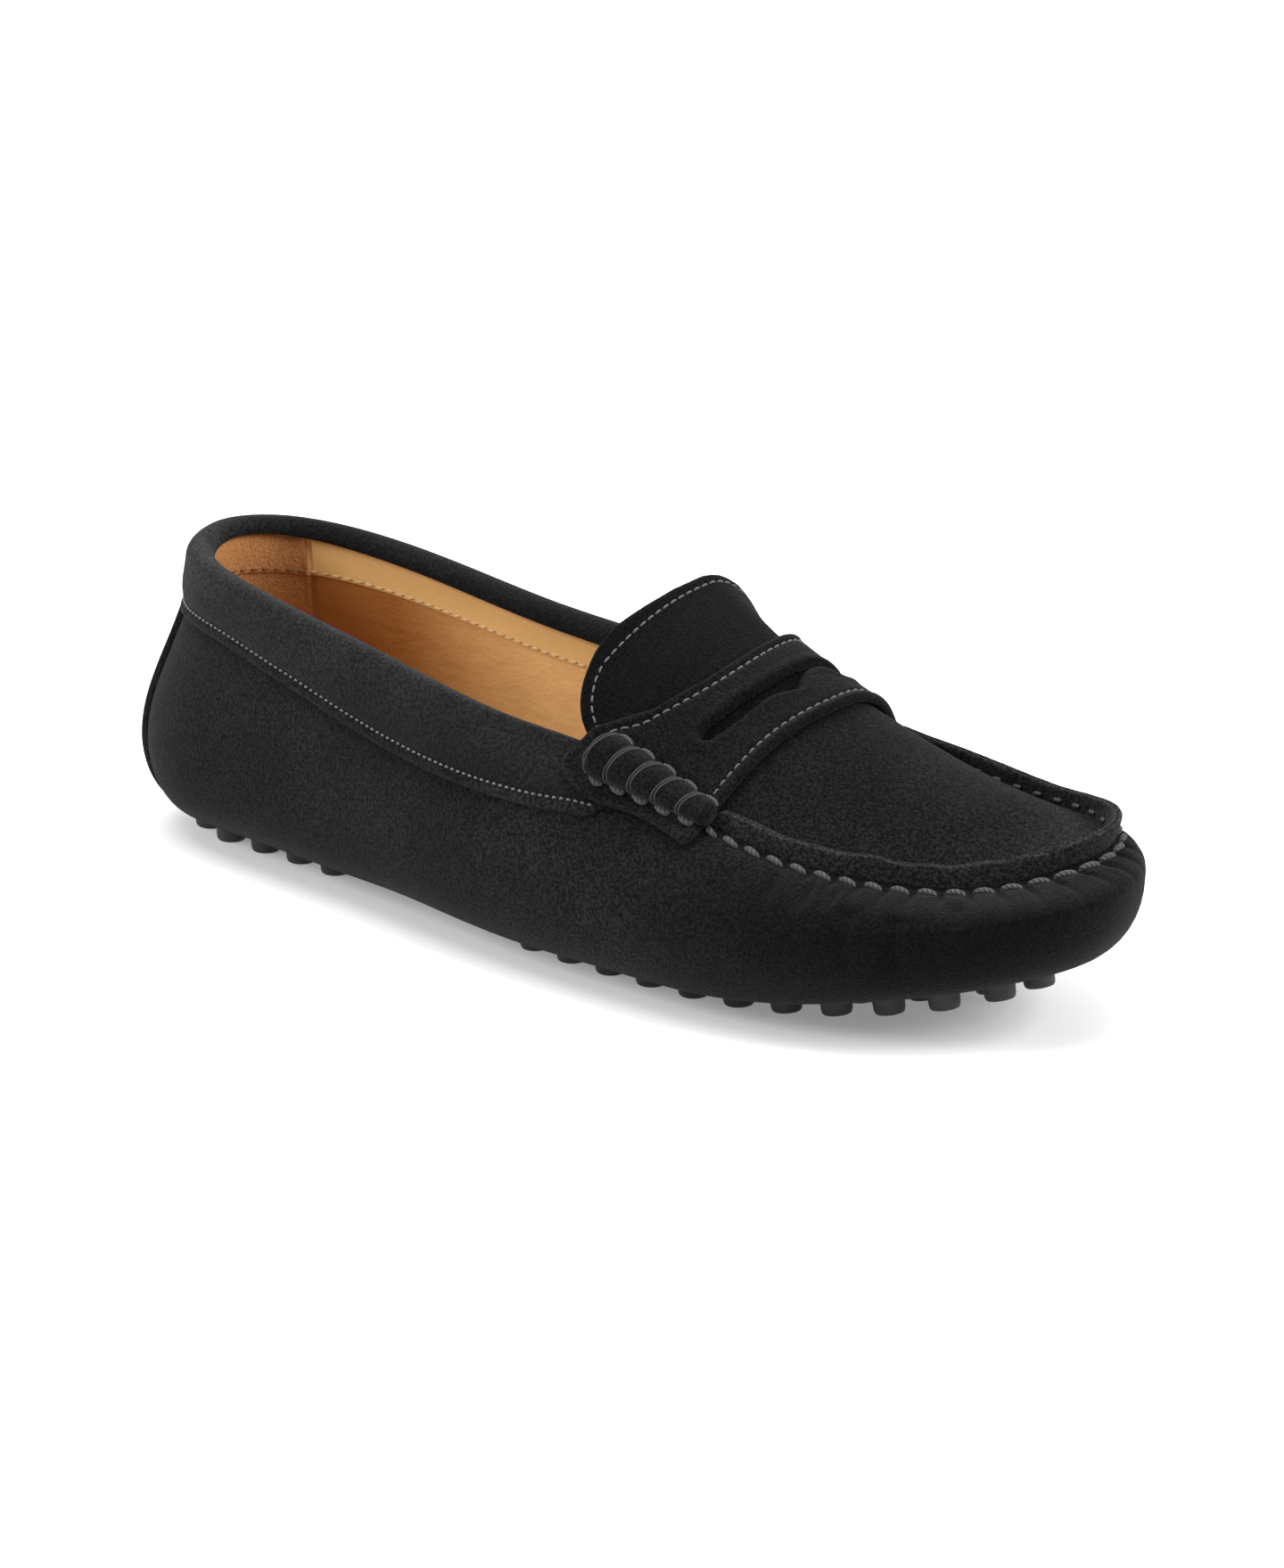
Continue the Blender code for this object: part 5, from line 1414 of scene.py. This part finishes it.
wraps, bases = [], []
lobe_share = np.linspace(0.0, 1.0, 11)
lobe_arch = round_over(2 * lobe_share - 1)
for roll in ROLLS:
    lobe = (roll.front - roll.rear) / ROLL_WRAPS
    for wrap in range(ROLL_WRAPS):
        start = roll.rear + lobe * (wrap + WRAP_START)
        angles = np.linspace(-WRAP_HALF, WRAP_HALF, 31)
        for strand_side in (-1, 1):
            stations = start + 0.5 + strand_side * WRAP_APART + roll.side * WRAP_SLANT * np.sin(angles)
            path = on_roll(roll, stations, angles, WRAP_RADIUS * 0.5)
            wraps.append(strand(path, WRAP_RADIUS, THREAD_SIDES))
        ends = ((LOWER_SIDE, -WRAP_SLANT, LOWER_RADIUS), (UPPER_SIDE, WRAP_SLANT, UPPER_RADIUS))
        for angle, slant, radius in ends:
            stations = start + slant + 0.2 + lobe_share * BASE_LENGTH
            angles = np.full(len(stations), -roll.side * angle)
            path = on_roll(roll, stations, angles, 0.75 * radius * lobe_arch)
            bases.append(strand(path, tapered(radius, BASE_END, lobe_arch), THREAD_SIDES))
sew("roll_wraps", wraps, wrap_thread)
sew("roll_stitches", bases, hand_thread)

# %% Machine stitches on strap, tongue and collar
STRAP_SEWING = Sewing(2.25, 1.6, 0.24, 0.18)
TONGUE_SEWING = Sewing(2.35, 1.7, 0.24, 0.16)
COLLAR_SEWING = Sewing(1.75, 0.6, 0.27, 0.24)
COLLAR_STITCH_OUT = 1.0  # the stitches lie in the groove of the margin
COLLAR_STITCH_END = 3.5  # before the band's end
SEWN_ACROSS = 0.92  # how far out the strap's rows run, where the seams are at 1
UNDER_STRAP = 152.0  # the tongue's rows run in under the strap as far as this station


def contour(grid, field, value, keep):
    """The line on a grid where a field first reaches a value along each row, walked row by row."""
    line, rows = [], []
    for i in range(len(grid)):
        if not keep[i]:
            continue
        for j in range(grid.shape[1] - 1):
            if (field[i, j] - value) * (field[i, j + 1] - value) <= 0:
                t = (value - field[i, j]) / (field[i, j + 1] - field[i, j] + 1e-12)
                line.append(grid[i, j] * (1 - t) + grid[i, j + 1] * t)
                rows.append(i)
                break
    return np.array(line), np.array(rows)


strap_top = strap_points[:count].reshape(strap_base.shape)
over_apron = np.abs(strap_w) < SEWN_ACROSS
machine = []
for columns_kept, step in ((strap_c < 0.45, 1), (strap_c > 0.55, -1)):
    picked = np.nonzero(columns_kept)[0][::step]
    line, row_numbers = contour(strap_top[:, picked], from_rim[:, picked], STRAP_STITCH_IN, over_apron)
    machine += stitches(line, strap_normals[row_numbers, picked[len(picked) // 2]], STRAP_SEWING)
tongue_top = apron_points[: apron_top.shape[0] * apron_top.shape[1]].reshape(apron_top.shape)
outer_half = np.nonzero(apron_w < 0.1)[0]
inner_half = np.nonzero(apron_w > 0.1)[0][::-1]
behind_strap = (apron_x < UNDER_STRAP) & (apron_x > TONGUE_TIP + TONGUE_STITCH_IN)
for picked in (outer_half, inner_half):
    line, row_numbers = contour(tongue_top[:, picked], from_free[:, picked], TONGUE_STITCH_IN, behind_strap)
    machine += stitches(line, apron_normals[row_numbers, picked[len(picked) // 3]], TONGUE_SEWING)
tip_row = int(np.argmin(np.abs(apron_x - TONGUE_TIP - TONGUE_STITCH_IN)))
along_tip = np.nonzero(from_free[tip_row] > TONGUE_STITCH_IN * 0.97)[0]
machine += stitches(tongue_top[tip_row, along_tip], apron_normals[tip_row, along_tip], TONGUE_SEWING)
sew("strap_and_tongue_stitches", machine, machine_thread)

band_x = of_last(band_places, "x")
shown = band_x < BAND_END_OUTER - COLLAR_STITCH_END
collar_level = 1 - (band_deep(band_x)[:, 0] - BAND_STITCH_UP) / wall_tall(band_places)
line, out = skin_out(band_places, collar_level, -COLLAR_STITCH_OUT)
sew("collar_stitches", stitches(line[shown], out[shown], COLLAR_SEWING), collar_thread)

# %% Stitches in the lining
FACING_SEWING = Sewing(2.6, 1.7, 0.23, 0.2)
FACING_STITCH_UP, FACING_STITCH_OUT = 0.9, 0.05
FACING_STITCH_END = 150.0  # station where the row goes out of sight under the tongue
facing_x = of_last(lining_places, "x")
facing_level = 1 - (FACING_DEEP - FACING_STITCH_UP) / wall_tall(lining_places)
facing_depth = WALL + FACING_THICK + FACING_STITCH_OUT + step_at(GRIP_THICK, GRIP_END, facing_x)
facing_line, facing_out = skin_out(lining_places, facing_level, facing_depth)
outer_row = (facing_x < FACING_STITCH_END) & (lining_places < GIRTH / 2)
inner_row = (facing_x < FACING_STITCH_END) & (lining_places >= GIRTH / 2)
on_grip = facing_x < GRIP_END
for name, area, finish in (
    ("lining_stitches", ~on_grip, lining_thread), ("heel_grip_stitches", on_grip, grip_thread),
):
    inside_rows = []
    for row in (outer_row & area, inner_row & area):
        inside_rows += stitches(facing_line[row], -facing_out[row], FACING_SEWING)
    sew(name, inside_rows, finish)

# %% [markdown]
# ## Pieces
# The script ends by printing how many pieces it made.

# %% Pieces
print("pieces:", len(made_pieces))
